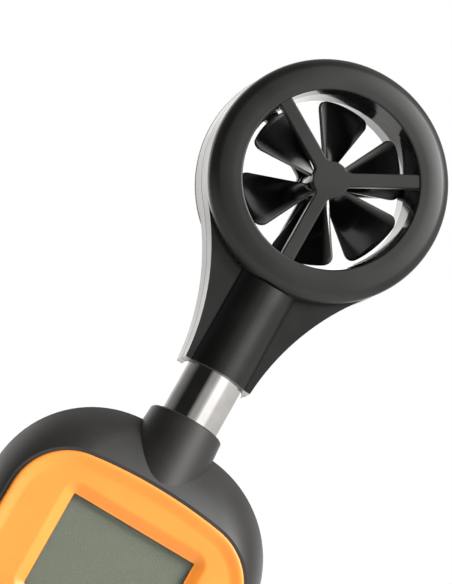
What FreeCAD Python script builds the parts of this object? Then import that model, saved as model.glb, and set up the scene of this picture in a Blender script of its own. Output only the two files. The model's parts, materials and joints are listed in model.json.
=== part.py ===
"""Handheld vane anemometer: impeller head on a swivelling tube, pocket instrument body below.

Millimetres. +Z runs up the long axis, the display faces -Y, +X is to the right of the display.
The origin is on the flat bottom end, under the middle of the object.
"""
import FreeCAD, Part
import math
import os
import re

import Sketcher
from FreeCAD import Placement, Rotation, Vector

doc = FreeCAD.newDocument("vane_anemometer")
sheet = doc.addObject("Spreadsheet::Sheet", "Sizes")

DRIVING_SIZES = [
    # instrument body
    ("mouth_height", 128.0, "height of the collar's mouth, where the tube comes out"),
    ("shoulder_drop", 3.9, "from the collar's mouth down to the shoulders"),
    ("case_half_width", 35.95, "half the body's width at its widest"),
    ("case_widest", 80.0, "height of the widest place"),
    ("side_radius", 420.0, "radius of the long curve of each side"),
    ("shoulder_radius", 28.0, "shoulder corner seen from the front"),
    ("foot_radius", 13.0, "bottom corner seen from the front"),
    ("foot_flat", 1.6, "how much of the rounded bottom is cut off flat, to stand on"),
    ("crown_radius", 120.0, "slight curve of the top edges"),
    ("case_front_depth", 11.0, "from the parting plane to the front face"),
    ("case_rear_depth", 12.6, "from the parting plane to the back face"),
    ("case_wall", 2.0, "wall of both case halves"),
    # faceplate
    ("plate_half_width", 31.2, "half the faceplate's width"),
    ("plate_top_drop", 18.9, "from the collar's mouth down to the faceplate"),
    ("plate_bottom", 7.0, "height of the faceplate's lower edge"),
    ("plate_corner", 15.5, "upper corner of the faceplate"),
    ("plate_foot_corner", 10.0, "lower corner of the faceplate"),
    ("plate_thick", 2.1, "faceplate thickness"),
    ("plate_sunk", 1.2, "how far the faceplate sits in the case"),
    ("plate_rim", 0.9, "flat land of the case round the faceplate"),
    ("plate_gap", 0.06, "gap round the faceplate in its recess"),
    # display
    ("display_half_width", 16.7, "half the visible display's width"),
    ("display_height", 25.0, "visible display's height"),
    ("display_drop", 29.7, "from the collar's mouth down to the visible display"),
    ("display_bevel", 3.0, "sloping border round the display in the faceplate"),
    ("lens_thick", 1.2, "clear window"),
    ("glass_thick", 2.2, "display glass"),
    ("glass_border", 2.0, "how far the display glass reaches under the faceplate"),
    # keys
    ("key_travel", 0.8, "how far a key moves"),
    ("key_proud", 0.8, "how far a key stands above the faceplate"),
    ("key_column", 16.5, "outer keys, from the middle line"),
    ("key_row_upper", 56.0, "height of the upper keys"),
    ("key_row_lower", 38.0, "height of the lower keys"),
    ("key_row_power", 47.0, "height of the middle key"),
    ("key_half_long", 7.0, "half the length of an outer key"),
    ("key_half_short", 4.2, "half the height of an outer key"),
    ("power_key_radius", 5.2, "middle key"),
    ("key_gap", 0.25, "gap between a key and its hole"),
    ("key_flange", 1.0, "how far a key's hidden flange reaches past its hole"),
    # main board
    ("board_front", 4.0, "board's front face, from the parting plane"),
    ("board_thick", 1.6, "circuit board"),
    ("board_half_width", 25.5, "half the board's width"),
    ("board_bottom", 19.0, "height of the board's lower edge"),
    ("board_top", 102.8, "height of the board's upper edge"),
    ("board_screw_in", 2.6, "board screws, in from the board's sides"),
    ("board_screw_radius", 0.9, "board screw shank"),
    ("board_screw_head", 1.9, "board screw head"),
    ("pillar_radius", 2.2, "pillars that carry the board"),
    # swivel
    ("tube_radius", 8.0, "bright tube, outside"),
    ("tube_wall", 1.2, "wall of the tube"),
    ("tube_showing", 13.2, "length of tube between collar and neck"),
    ("tube_in_neck", 15.0, "length of tube inside the neck"),
    ("tube_in_body", 15.8, "length of tube inside the body"),
    ("running_gap", 0.05, "radial clearance of what turns"),
    ("bush_wall", 0.6, "wall of the bush"),
    ("bush_length", 11.0, "bush in the collar"),
    ("collar_mouth_radius", 9.5, "collar outside at its mouth"),
    ("collar_foot_radius", 10.75, "collar outside, lower down"),
    ("collar_length", 18.5, "collar with the part inside the body"),
    ("stop_length", 3.4, "height of the stop collar"),
    ("stop_outer", 9.4, "stop collar outside"),
    ("lug_angle", 45.0, "where the stop collar's lug is at rest, from the right-hand side"),
    ("lug_width", 3.0, "width of the lug"),
    ("lug_drop", 2.4, "how far the lug hangs below the stop collar"),
    # head
    ("duct_rise", 67.3, "from the collar's mouth up to the middle of the duct"),
    ("head_radius", 29.6, "outside of the ring"),
    ("duct_radius", 20.5, "air passage"),
    ("duct_step", 0.7, "how much wider the front half of the air passage is"),
    ("lip_radius", 21.8, "opening of each bezel"),
    ("head_half_depth", 10.7, "half the depth of the ring"),
    ("bezel_depth", 4.0, "depth of each bezel"),
    ("bullnose", 3.4, "rounding of the ring's outer edges"),
    ("lip_round", 0.5, "rounding of the bezel's inner edge"),
    ("head_wall", 1.7, "walls of the head shells"),
    ("spoke_width", 3.35, "guard spoke"),
    ("spoke_depth", 2.6, "guard spoke, front to back"),
    ("guard_sunk", 0.25, "spokes below the bezel's face"),
    ("guard_hub_radius", 4.55, "hub of each guard"),
    ("guard_hub_depth", 4.2, "hub of each guard, front to back"),
    ("head_screw_radius", 0.97, "head screw shank"),
    ("head_screw_head", 1.8, "head screw head"),
    ("head_screw_grip", 3.2, "how far a head screw reaches into the front shell"),
    ("head_screw_seat", 5.0, "where a head screw's head sits in the rear shell"),
    # neck
    ("neck_radius", 9.15, "half-round middle of the neck"),
    ("web_half_depth", 5.2, "half the thickness of the neck's side webs"),
    ("web_foot_half_width", 9.0, "half the neck's width at its foot"),
    ("web_curve", 62.0, "radius of the neck's hollow sides"),
    ("pickup_room", 6.3, "radius of the hollow for the pickup board"),
    # impeller
    ("blade_tip", 19.9, "impeller radius"),
    ("blade_root", 3.2, "where the blades enter the hub"),
    ("blade_thick", 0.8, "blade"),
    ("blade_front", 4.7, "how far the blades reach in front of the mid plane"),
    ("blade_back", 2.9, "how far the blades reach behind the mid plane"),
    ("blade_twist", 44.0, "angle that a blade turns through from front to back"),
    ("blade_start", 12.3, "angle of one blade's middle before the upright"),
    ("blade_round", 1.8, "corner of a blade's tip"),
    ("blade_count", 6.0, "blades"),
    ("rotor_hub_radius", 3.8, "impeller hub"),
    ("rotor_hub_half_length", 5.9, "half the length of the impeller hub"),
    ("shaft_radius", 0.75, "impeller shaft"),
    ("bearing_radius", 2.2, "bearing outside"),
    ("bearing_length", 2.4, "bearing"),
    ("shaft_gap", 0.04, "radial clearance of the shaft in its bearings"),
    # fits
    ("face_gap", 0.02, "between faces that rest on each other"),
    ("fit_gap", 0.01, "round what is pressed or glued in"),
    # back of the body
    ("cell_radius", 5.2, "battery cell"),
    ("cell_length", 44.0, "battery cell with its tip"),
    ("cell_pitch", 10.9, "distance between cells"),
    ("cell_bottom", 13.5, "height of the cells' lower ends"),
    ("cell_tip_length", 1.2, "tip of a cell"),
    ("cell_tip_radius", 1.9, "tip of a cell"),
    ("contact_half", 3.7, "half the side of a contact plate"),
    ("bay_half_width", 17.4, "half the battery bay's width"),
    ("bay_bottom", 9.0, "height of the battery bay's floor"),
    ("bay_top", 62.0, "height of the battery bay's ceiling"),
    ("door_border", 2.6, "how far the battery door reaches past the bay"),
    ("door_thick", 1.6, "battery door"),
    ("door_gap", 0.2, "gap round the battery door"),
    ("door_screw_radius", 1.0, "battery door screw shank"),
    ("door_screw_head", 2.2, "battery door screw head"),
    ("tripod_height", 80.0, "height of the threaded insert in the back"),
    ("tripod_bore", 2.55, "thread core of the insert"),
    ("tripod_outer", 4.2, "insert outside"),
    ("tripod_length", 8.0, "insert length"),
    ("screw_radius", 1.25, "case screw shank"),
    ("screw_head_radius", 2.5, "case screw head"),
    ("post_radius", 3.2, "screw posts in the case"),
    ("post_upper", 106.5, "height of the upper case screws"),
    ("post_upper_out", 23.0, "upper case screws, from the middle line"),
    ("post_lower", 11.0, "height of the lower case screws"),
    ("post_lower_out", 22.3, "lower case screws, from the middle line"),
]
ALIASES = {name for name, _, _ in DRIVING_SIZES}
for row, (name, size, meaning) in enumerate(DRIVING_SIZES, start=1):
    sheet.set(f"A{row}", name)
    sheet.set(f"B{row}", str(size))
    sheet.setAlias(f"B{row}", name)
    sheet.set(f"C{row}", meaning)
doc.recompute()


# ---------------------------------------------------------------- formulas on the sheet
def number(formula):
    """Value of a formula in the sheet's names."""
    return float(sheet.evalExpression(formula))


def bound(formula):
    """The same formula, as another object of the document has to write it."""
    return re.sub(r"[a-z_]{3,}", lambda word: ("Sizes." if word[0] in ALIASES else "") + word[0], formula)


# ---------------------------------------------------------------- sketches
def new_body(label):
    body = doc.addObject("PartDesign::Body", label)
    body.Label = label
    body.Placement = Placement()
    return body


def sketch_on(body, role, offset="0", turn=None):
    """Empty sketch on one of the body's own origin planes, moved along its normal."""
    plane = [feature for feature in body.Origin.OriginFeatures if feature.Role == role][0]
    sketch = body.newObject("Sketcher::SketchObject", body.Name + "_sketch")
    sketch.AttachmentSupport = [(plane, "")]
    sketch.MapMode = "FlatFace"
    if turn is not None:
        sketch.AttachmentOffset = Placement(Vector(), Rotation(Vector(0, 0, 1), 1))
        sketch.setExpression("AttachmentOffset.Rotation.Angle", f"({bound(turn)}) * 1 deg")
    sketch.setExpression("AttachmentOffset.Base.z", bound(offset))
    return sketch


def hold(sketch, kind, formula, *references):
    """Dimension that follows the sheet."""
    index = sketch.addConstraint(Sketcher.Constraint(kind, *references, number(formula)))
    sketch.setExpression(f"Constraints[{index}]", bound(formula))


def pin(sketch, geometry, end, across, up):
    """Hold one point of a sketch at a place given by two formulas."""
    hold(sketch, "DistanceX", across, -1, 1, geometry, end)
    hold(sketch, "DistanceY", up, -1, 1, geometry, end)


def polygon(sketch, corners):
    """Closed outline of straight lines through corners, each a pair of formulas."""
    places = [Vector(number(across), number(up), 0) for across, up in corners]
    first = sketch.GeometryCount
    for index, place in enumerate(places):
        after = places[(index + 1) % len(places)]
        sketch.addGeometry(Part.LineSegment(place, after))
    for index, (across, up) in enumerate(corners):
        after = (index + 1) % len(corners)
        sketch.addConstraint(Sketcher.Constraint("Coincident", first + index, 2, first + after, 1))
        pin(sketch, first + index, 1, across, up)


def rectangle(sketch, left, right, low, high):
    polygon(sketch, [(left, low), (right, low), (right, high), (left, high)])


def circle(sketch, across, up, radius):
    middle = Vector(number(across), number(up), 0)
    index = sketch.addGeometry(Part.Circle(middle, Vector(0, 0, 1), number(radius)))
    pin(sketch, index, 3, across, up)
    hold(sketch, "Radius", radius, index)


def slot(sketch, across, up, half_long, half_short):
    """Round-ended oblong, longer across than up."""
    x, z = number(across), number(up)
    reach, radius = number(half_long) - number(half_short), number(half_short)
    right, left = Vector(x + reach, z, 0), Vector(x - reach, z, 0)
    up_step = Vector(0, radius, 0)
    normal = Vector(0, 0, 1)
    quarter = math.pi / 2
    first = sketch.GeometryCount
    sketch.addGeometry(Part.ArcOfCircle(Part.Circle(right, normal, radius), -quarter, quarter))
    sketch.addGeometry(Part.LineSegment(right + up_step, left + up_step))
    sketch.addGeometry(Part.ArcOfCircle(Part.Circle(left, normal, radius), quarter, 3 * quarter))
    sketch.addGeometry(Part.LineSegment(left - up_step, right - up_step))
    for index in range(4):
        after = first + (index + 1) % 4
        sketch.addConstraint(Sketcher.Constraint("Tangent", first + index, 2, after, 1))
    pin(sketch, first, 3, f"{across} + {half_long} - {half_short}", up)
    pin(sketch, first + 2, 3, f"{across} - {half_long} + {half_short}", up)
    hold(sketch, "Radius", half_short, first)


def body_outline(sketch, half_width, top, corner, bottom, foot):
    """The body's front outline: flat foot, bowed sides, round shoulders, slightly crowned top."""
    widest, bow, crown = number("case_widest"), number("side_radius"), number("crown_radius")
    half, high, low = number(half_width), number(top), number(bottom)
    shoulder, heel = number(corner), number(foot)
    side_middle = Vector(half - bow, widest, 0)
    crown_middle = Vector(0, high - crown, 0)
    heel_rise = low + heel - widest
    heel_middle = Vector(side_middle.x + math.sqrt((bow - heel) ** 2 - heel_rise ** 2), low + heel, 0)
    # the shoulder's middle lies where two circles cross
    span = (side_middle - crown_middle).Length
    from_crown, from_side = crown - shoulder, bow - shoulder
    along = (from_crown ** 2 - from_side ** 2 + span ** 2) / (2 * span)
    aside = math.sqrt(from_crown ** 2 - along ** 2)
    direction = (side_middle - crown_middle).normalize()
    shoulder_middle = crown_middle + direction * along + Vector(direction.y, -direction.x, 0) * aside
    if shoulder_middle.x < 0:
        shoulder_middle = crown_middle + direction * along - Vector(direction.y, -direction.x, 0) * aside
    heel_up = side_middle + (heel_middle - side_middle).normalize() * bow
    shoulder_down = side_middle + (shoulder_middle - side_middle).normalize() * bow
    shoulder_up = crown_middle + (shoulder_middle - crown_middle).normalize() * crown

    def arc(middle, radius, start, end):
        """Anticlockwise arc between two places."""
        first = math.atan2(start.y - middle.y, start.x - middle.x)
        last = math.atan2(end.y - middle.y, end.x - middle.x)
        return Part.ArcOfCircle(Part.Circle(middle, Vector(0, 0, 1), radius), first, last)

    def other(place):
        return Vector(-place.x, place.y, 0)

    foot_right = Vector(heel_middle.x, low, 0)
    sketch.addGeometry([
        Part.LineSegment(other(foot_right), foot_right),
        arc(heel_middle, heel, foot_right, heel_up),
        arc(side_middle, bow, heel_up, shoulder_down),
        arc(shoulder_middle, shoulder, shoulder_down, shoulder_up),
        arc(crown_middle, crown, shoulder_up, other(shoulder_up)),
        arc(other(shoulder_middle), shoulder, other(shoulder_up), other(shoulder_down)),
        arc(other(side_middle), bow, other(shoulder_down), other(heel_up)),
        arc(other(heel_middle), heel, other(heel_up), other(foot_right)),
    ])
    for index in range(8):
        sketch.addConstraint(Sketcher.Constraint("Tangent", index, 2, (index + 1) % 8, 1))
    for index in (0, 4):
        sketch.addConstraint(Sketcher.Constraint("Symmetric", index, 1, index, 2, -2))
    hold(sketch, "DistanceY", bottom, -1, 1, 0, 1)
    hold(sketch, "DistanceY", f"{top} - crown_radius", -1, 1, 4, 3)
    hold(sketch, "Radius", "crown_radius", 4)
    for index, radius in ((1, foot), (7, foot), (2, "side_radius"), (6, "side_radius"), (3, corner), (5, corner)):
        hold(sketch, "Radius", radius, index)
    pin(sketch, 2, 3, f"{half_width} - side_radius", "case_widest")


# ---------------------------------------------------------------- features
def pad(body, front, back, draw):
    """Solid between two depths; draw puts the outline on a sketch seen from the front."""
    sketch = sketch_on(body, "XZ_Plane", f"-({back})")
    draw(sketch)
    feature = body.newObject("PartDesign::Pad", body.Name + "_pad")
    feature.Profile = sketch
    feature.setExpression("Length", bound(f"({back}) - ({front})"))
    doc.recompute()
    return feature


def cut(body, front, back, draw):
    """Opening between two depths."""
    before = body.Shape.Volume
    sketch = sketch_on(body, "XZ_Plane", f"-({front})")
    draw(sketch)
    feature = body.newObject("PartDesign::Pocket", body.Name + "_cut")
    feature.Profile = sketch
    feature.setExpression("Length", bound(f"({back}) - ({front})"))
    doc.recompute()
    assert body.Shape.Volume < before - 0.01, f"{body.Label}: an opening cuts nothing"
    return feature


def turned(body, role, axis, corners, angle=360, reverse=False):
    """Solid of revolution from a straight-sided profile."""
    sketch = sketch_on(body, role)
    polygon(sketch, corners)
    feature = body.newObject("PartDesign::Revolution", body.Name + "_turned")
    feature.Profile = sketch
    feature.ReferenceAxis = (sketch, [axis])
    feature.Angle = angle
    feature.Reversed = reverse
    doc.recompute()
    return feature


def grooved(body, role, axis, corners):
    """Cut of revolution."""
    before = body.Shape.Volume
    sketch = sketch_on(body, role)
    polygon(sketch, corners)
    feature = body.newObject("PartDesign::Groove", body.Name + "_groove")
    feature.Profile = sketch
    feature.ReferenceAxis = (sketch, [axis])
    feature.Angle = 360
    doc.recompute()
    assert body.Shape.Volume < before - 0.01, f"{body.Label}: a groove cuts nothing"
    return feature


def loft(body, kind, sections):
    """Loft through body outlines, each (depth, half width, top, corner, bottom, foot)."""
    sketches = []
    for depth, *outline in sections:
        sketch = sketch_on(body, "XZ_Plane", f"-({depth})")
        body_outline(sketch, *outline)
        sketches.append(sketch)
    feature = body.newObject(f"PartDesign::{kind}Loft", body.Name + "_loft")
    feature.Profile = sketches[0]
    feature.Sections = sketches[1:]
    feature.Ruled = False
    doc.recompute()
    return feature


def soften(body, radius, chosen):
    """Round the edges that chosen picks from the body's present shape."""
    tip = body.Tip
    names = [f"Edge{i}" for i, edge in enumerate(tip.Shape.Edges, start=1) if chosen(edge)]
    assert names, f"{body.Label}: no edge to round"
    feature = body.newObject("PartDesign::Fillet", body.Name + "_round")
    feature.Base = (tip, names)
    feature.setExpression("Radius", bound(radius))
    doc.recompute()
    return feature


def raise_to_duct(body):
    """Head pieces are drawn round the duct's middle and lifted to it."""
    body.setExpression("Placement.Base.z", bound("mouth_height + duct_rise"))
    doc.recompute()


def lies_at(edge, depth=None, radius=None):
    """True for an edge that stays at one depth, or is a circle of one radius, or both."""
    if depth is not None:
        box = edge.BoundBox
        if abs(box.YMin - depth) > 0.01 or abs(box.YMax - depth) > 0.01:
            return False
    if radius is not None:
        if not hasattr(edge.Curve, "Radius") or abs(edge.Curve.Radius - radius) > 0.01:
            return False
    return True


# ---------------------------------------------------------------- plain stock
def block(label, left, right, front, back, low, high):
    piece = doc.addObject("Part::Box", label)
    piece.Label = label
    piece.setExpression("Length", bound(f"({right}) - ({left})"))
    piece.setExpression("Width", bound(f"({back}) - ({front})"))
    piece.setExpression("Height", bound(f"({high}) - ({low})"))
    piece.setExpression("Placement.Base.x", bound(left))
    piece.setExpression("Placement.Base.y", bound(front))
    piece.setExpression("Placement.Base.z", bound(low))
    return piece


def rod(label, radius, front, back, across, up):
    """Cylinder that lies along Y."""
    piece = doc.addObject("Part::Cylinder", label)
    piece.Label = label
    piece.Placement = Placement(Vector(), Rotation(Vector(1, 0, 0), -90))
    piece.setExpression("Radius", bound(radius))
    piece.setExpression("Height", bound(f"({back}) - ({front})"))
    piece.setExpression("Placement.Base.x", bound(across))
    piece.setExpression("Placement.Base.y", bound(front))
    piece.setExpression("Placement.Base.z", bound(up))
    return piece


def post(label, radius, low, high, across, depth):
    """Cylinder that stands along Z."""
    piece = doc.addObject("Part::Cylinder", label)
    piece.Label = label
    piece.setExpression("Radius", bound(radius))
    piece.setExpression("Height", bound(f"({high}) - ({low})"))
    piece.setExpression("Placement.Base.x", bound(across))
    piece.setExpression("Placement.Base.y", bound(depth))
    piece.setExpression("Placement.Base.z", bound(low))
    return piece


def joined(label, pieces):
    """One node of several solids, or of stock that touches."""
    group = doc.addObject("Part::MultiFuse", label)
    group.Label = label
    group.Shapes = pieces
    return group


NODES = []


def keep(piece):
    """Name a finished piece as a node of the object."""
    NODES.append(piece)
    return piece


# ================================================================ body
PLATE_SEAT = "-case_front_depth + plate_sunk"
FRONT_INNER = "-case_front_depth + plate_sunk + case_wall - 0.2"
SHOULDER = "mouth_height - shoulder_drop"
PLATE_TOP = "mouth_height - plate_top_drop"
COLLAR_BORE = "tube_radius + running_gap + bush_wall + 0.05"
PARTING_OUTLINE = ("case_half_width", SHOULDER, "shoulder_radius", "-foot_flat", "foot_radius")
CAVITY_OUTLINE = ("case_half_width - case_wall", f"{SHOULDER} - 1.4 * case_wall",
                  "shoulder_radius - case_wall", "case_wall + 0.3", "foot_radius - case_wall")

CASE_SCREWS = [
    ("upper_right", "post_upper_out", "post_upper"),
    ("upper_left", "-post_upper_out", "post_upper"),
    ("lower_right", "post_lower_out", "post_lower"),
    ("lower_left", "-post_lower_out", "post_lower"),
]

BOARD_SCREWS = [
    ("board_half_width - board_screw_in", "board_top - 13.8"),
    ("-board_half_width + board_screw_in", "board_top - 13.8"),
    ("board_half_width - board_screw_in", "board_bottom + 5"),
    ("-board_half_width + board_screw_in", "board_bottom + 5"),
]

DISPLAY_TOP = "mouth_height - display_drop"
DISPLAY_BOTTOM = "mouth_height - display_drop - display_height"

KEYS = [
    ("key_mode", "-key_column", "key_row_upper"),
    ("key_units", "key_column", "key_row_upper"),
    ("key_max", "-key_column", "key_row_lower"),
    ("key_hold", "key_column", "key_row_lower"),
    ("key_power", "0", "key_row_power"),
]


def key_outline(sketch, name, across, up, extra):
    if name == "key_power":
        circle(sketch, across, up, f"power_key_radius + {extra}")
    else:
        slot(sketch, across, up, f"(key_half_long + {extra})", f"(key_half_short + {extra})")


def collar_half(body, front):
    """Half of the collar and of the round boss that carries the bush inside the body."""
    foot = "mouth_height - collar_length"
    corners = [
        (COLLAR_BORE, foot),
        ("collar_foot_radius", foot),
        ("collar_mouth_radius", "mouth_height - 0.4"),
        ("collar_mouth_radius - 0.4", "mouth_height"),
        (COLLAR_BORE, "mouth_height"),
    ]
    turned(body, "XZ_Plane", "V_Axis", corners, 180, front)


def collar_bore(body):
    """Bore for the bush, with a wider room below it for the stop collar."""
    room = "mouth_height - bush_length - 0.6"
    corners = [
        ("0", "mouth_height - collar_length - 8"),
        ("stop_outer + 0.2", "mouth_height - collar_length - 8"),
        ("stop_outer + 0.2", room),
        (COLLAR_BORE, room),
        (COLLAR_BORE, "mouth_height + 1"),
        ("0", "mouth_height + 1"),
    ]
    grooved(body, "XZ_Plane", "V_Axis", corners)


def flat_foot(body, front, back):
    """Plane cut across the rounded bottom end."""
    cut(body, front, back, lambda sketch: rectangle(
        sketch, "-case_half_width", "case_half_width", "-foot_flat - 3", "0"))


def front_case():
    body = new_body("front_case")
    loft(body, "Additive", [
        ("0",) + PARTING_OUTLINE,
        ("-0.5 * case_front_depth", "case_half_width - 1.1", f"{SHOULDER} - 5.4",
         "shoulder_radius - 3", "1.7 - foot_flat", "foot_radius - 0.5"),
        ("-case_front_depth", "plate_half_width + plate_rim", f"{PLATE_TOP} + plate_rim",
         "plate_corner + plate_rim", "plate_bottom - plate_rim", "plate_foot_corner + plate_rim"),
    ])
    loft(body, "Subtractive", [
        ("0",) + CAVITY_OUTLINE,
        (f"0.5 * ({FRONT_INNER})", "case_half_width - case_wall - 0.8", f"{SHOULDER} - 3.4 - 1.6 * case_wall",
         "shoulder_radius - case_wall - 2", "case_wall + 1.7", "foot_radius - case_wall"),
        (FRONT_INNER, "plate_half_width - 0.4", f"{PLATE_TOP} + 0.6",
         "plate_corner - 0.4", "plate_bottom + 0.4", "plate_foot_corner - 0.4"),
    ])
    flat_foot(body, "-case_front_depth", "0")
    collar_half(body, True)
    collar_bore(body)
    pad(body, FRONT_INNER + " - 0.2", "-0.3", lambda sketch: [
        circle(sketch, across, up, "post_radius") for _, across, up in CASE_SCREWS])
    cut(body, FRONT_INNER + " + 1", "0", lambda sketch: [
        circle(sketch, across, up, "screw_radius + 0.03") for _, across, up in CASE_SCREWS])
    cut(body, "-case_front_depth - 1", PLATE_SEAT, lambda sketch: body_outline(
        sketch, "plate_half_width + plate_gap", f"{PLATE_TOP} + plate_gap", "plate_corner + plate_gap",
        "plate_bottom - plate_gap", "plate_foot_corner + plate_gap"))
    cut(body, "-case_front_depth", FRONT_INNER + " + 1", lambda sketch: rectangle(
        sketch, "-display_half_width - glass_border - 0.1", "display_half_width + glass_border + 0.1",
        f"{DISPLAY_BOTTOM} - glass_border - 0.1", f"{DISPLAY_TOP} + glass_border + 0.1"))

    def key_holes(sketch):
        for name, across, up in KEYS:
            key_outline(sketch, name, across, up, "key_gap")
    cut(body, "-case_front_depth", FRONT_INNER + " + 1", key_holes)
    # rib that the swivel's lug meets at both ends of its turn
    pad(body, "-stop_outer - 0.6", "-4.6", lambda sketch: rectangle(
        sketch, "-2.6", "2.6", "mouth_height - tube_in_body - 2.9", "mouth_height - tube_in_body - 0.3"))
    # four pillars hold the board
    pad(body, FRONT_INNER + " - 0.2", "-board_front - face_gap", lambda sketch: [
        circle(sketch, across, up, "pillar_radius") for across, up in BOARD_SCREWS])
    cut(body, FRONT_INNER + " + 0.6", "-board_front", lambda sketch: [
        circle(sketch, across, up, "board_screw_radius + 0.03") for across, up in BOARD_SCREWS])
    return keep(body)


BACK = "case_rear_depth"
DOOR_SCREW_AT = "bay_top + door_border + 1"
REAR_INNER = "case_rear_depth - case_wall"
DOOR_INNER = "case_rear_depth - door_thick"


def rear_case():
    body = new_body("rear_case")
    loft(body, "Additive", [
        ("0",) + PARTING_OUTLINE,
        (f"0.55 * {BACK}", "case_half_width - 1.8", f"{SHOULDER} - 2.8",
         "shoulder_radius - 2", "1.7 - foot_flat", "foot_radius - 0.8"),
        (BACK, "case_half_width - 5.4", f"{SHOULDER} - 8.5", "shoulder_radius - 7", "5", "foot_radius - 3.4"),
    ])
    loft(body, "Subtractive", [
        ("0",) + CAVITY_OUTLINE,
        (f"0.5 * ({REAR_INNER})", "case_half_width - case_wall - 1.6", f"{SHOULDER} - 2.2 - 1.5 * case_wall",
         "shoulder_radius - case_wall - 1.8", "case_wall + 1.8", "foot_radius - case_wall"),
        (REAR_INNER, "case_half_width - case_wall - 6", f"{SHOULDER} - 9 - 1.5 * case_wall",
         "shoulder_radius - case_wall - 7", "case_wall + 6", "foot_radius - case_wall - 3.4"),
    ])
    flat_foot(body, "0", "case_rear_depth")
    collar_half(body, False)
    collar_bore(body)
    # screw posts, tripod post and the walls of the battery bay
    pad(body, "0.3", REAR_INNER + " + 0.2", lambda sketch: [
        circle(sketch, across, up, "post_radius") for _, across, up in CASE_SCREWS])
    pad(body, f"{BACK} - tripod_length - 1.5", REAR_INNER + " + 0.2",
        lambda sketch: circle(sketch, "0", "tripod_height", "tripod_outer + 1.8"))
    pad(body, "-0.6", REAR_INNER + " + 0.2", lambda sketch: rectangle(
        sketch, "-bay_half_width - 1.2", "bay_half_width + 1.2", "bay_bottom - 1.2", "bay_top + 1.2"))
    cut(body, "0.4", BACK + " + 1", lambda sketch: rectangle(
        sketch, "-bay_half_width", "bay_half_width", "bay_bottom", "bay_top"))
    cut(body, DOOR_INNER, BACK + " + 1", lambda sketch: rectangle(
        sketch, "-bay_half_width - door_border", "bay_half_width + door_border",
        "bay_bottom - door_border", "bay_top + door_border + 5"))
    cut(body, f"{BACK} - tripod_length", BACK + " + 1",
        lambda sketch: circle(sketch, "0", "tripod_height", "tripod_outer + fit_gap"))
    cut(body, "0", BACK + " + 1", lambda sketch: [
        circle(sketch, across, up, "screw_radius + 0.15") for _, across, up in CASE_SCREWS])
    cut(body, "0.45 * case_rear_depth", BACK + " + 1", lambda sketch: [
        circle(sketch, across, up, "screw_head_radius + 0.2") for _, across, up in CASE_SCREWS])
    # boss for the battery door's screw, above the bay
    pad(body, "5", DOOR_INNER, lambda sketch: circle(sketch, "0", DOOR_SCREW_AT, "post_radius"))
    cut(body, "6", BACK, lambda sketch: circle(sketch, "0", DOOR_SCREW_AT, "door_screw_radius + 0.05"))
    return keep(body)


def swivel_bush():
    body = new_body("swivel_bush")
    inner, outer = "tube_radius + running_gap", "tube_radius + running_gap + bush_wall"
    top, foot = "mouth_height - 0.7", "mouth_height - bush_length - 0.6"
    turned(body, "XZ_Plane", "V_Axis", [(inner, foot), (outer, foot), (outer, top), (inner, top)])
    return keep(body)


def faceplate():
    body = new_body("faceplate")
    pad(body, PLATE_SEAT + " - plate_thick - face_gap", PLATE_SEAT + " - face_gap", lambda sketch: body_outline(
        sketch, "plate_half_width", PLATE_TOP, "plate_corner", "plate_bottom", "plate_foot_corner"))
    front = number(PLATE_SEAT + " - plate_thick - face_gap")
    soften(body, "0.42 * plate_thick", lambda edge: lies_at(edge, depth=front))
    # the display's opening slopes in from the face to the clear window
    sketch = sketch_on(body, "XZ_Plane", f"-({PLATE_SEAT} - plate_thick - face_gap)")
    rectangle(sketch, "-display_half_width - display_bevel", "display_half_width + display_bevel",
              f"{DISPLAY_BOTTOM} - display_bevel", f"{DISPLAY_TOP} + display_bevel")
    narrow = sketch_on(body, "XZ_Plane", f"-({PLATE_SEAT})")
    rectangle(narrow, "-display_half_width", "display_half_width", DISPLAY_BOTTOM, DISPLAY_TOP)
    before = body.Shape.Volume
    feature = body.newObject("PartDesign::SubtractiveLoft", "faceplate_window")
    feature.Profile = sketch
    feature.Sections = [narrow]
    feature.Ruled = True
    doc.recompute()
    assert body.Shape.Volume < before - 1, "faceplate: the window cuts nothing"

    def key_holes(sketch):
        for name, across, up in KEYS:
            key_outline(sketch, name, across, up, "key_gap")
    cut(body, "-case_front_depth - 3", PLATE_SEAT + " + 1", key_holes)
    return keep(body)


def keys():
    """Each key is a cap through the faceplate with a wider flange behind the case wall."""
    face = PLATE_SEAT + " - plate_thick - face_gap"
    for name, across, up in KEYS:
        body = new_body(name)
        pad(body, f"{face} - key_proud", FRONT_INNER + " + 0.05",
            lambda sketch: key_outline(sketch, name, across, up, "0"))
        front = number(f"{face} - key_proud")
        soften(body, "0.5", lambda edge: lies_at(edge, depth=front))
        pad(body, FRONT_INNER + " + 0.05", FRONT_INNER + " + 1",
            lambda sketch: key_outline(sketch, name, across, up, "(key_gap + key_flange)"))
        keep(body)


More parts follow.
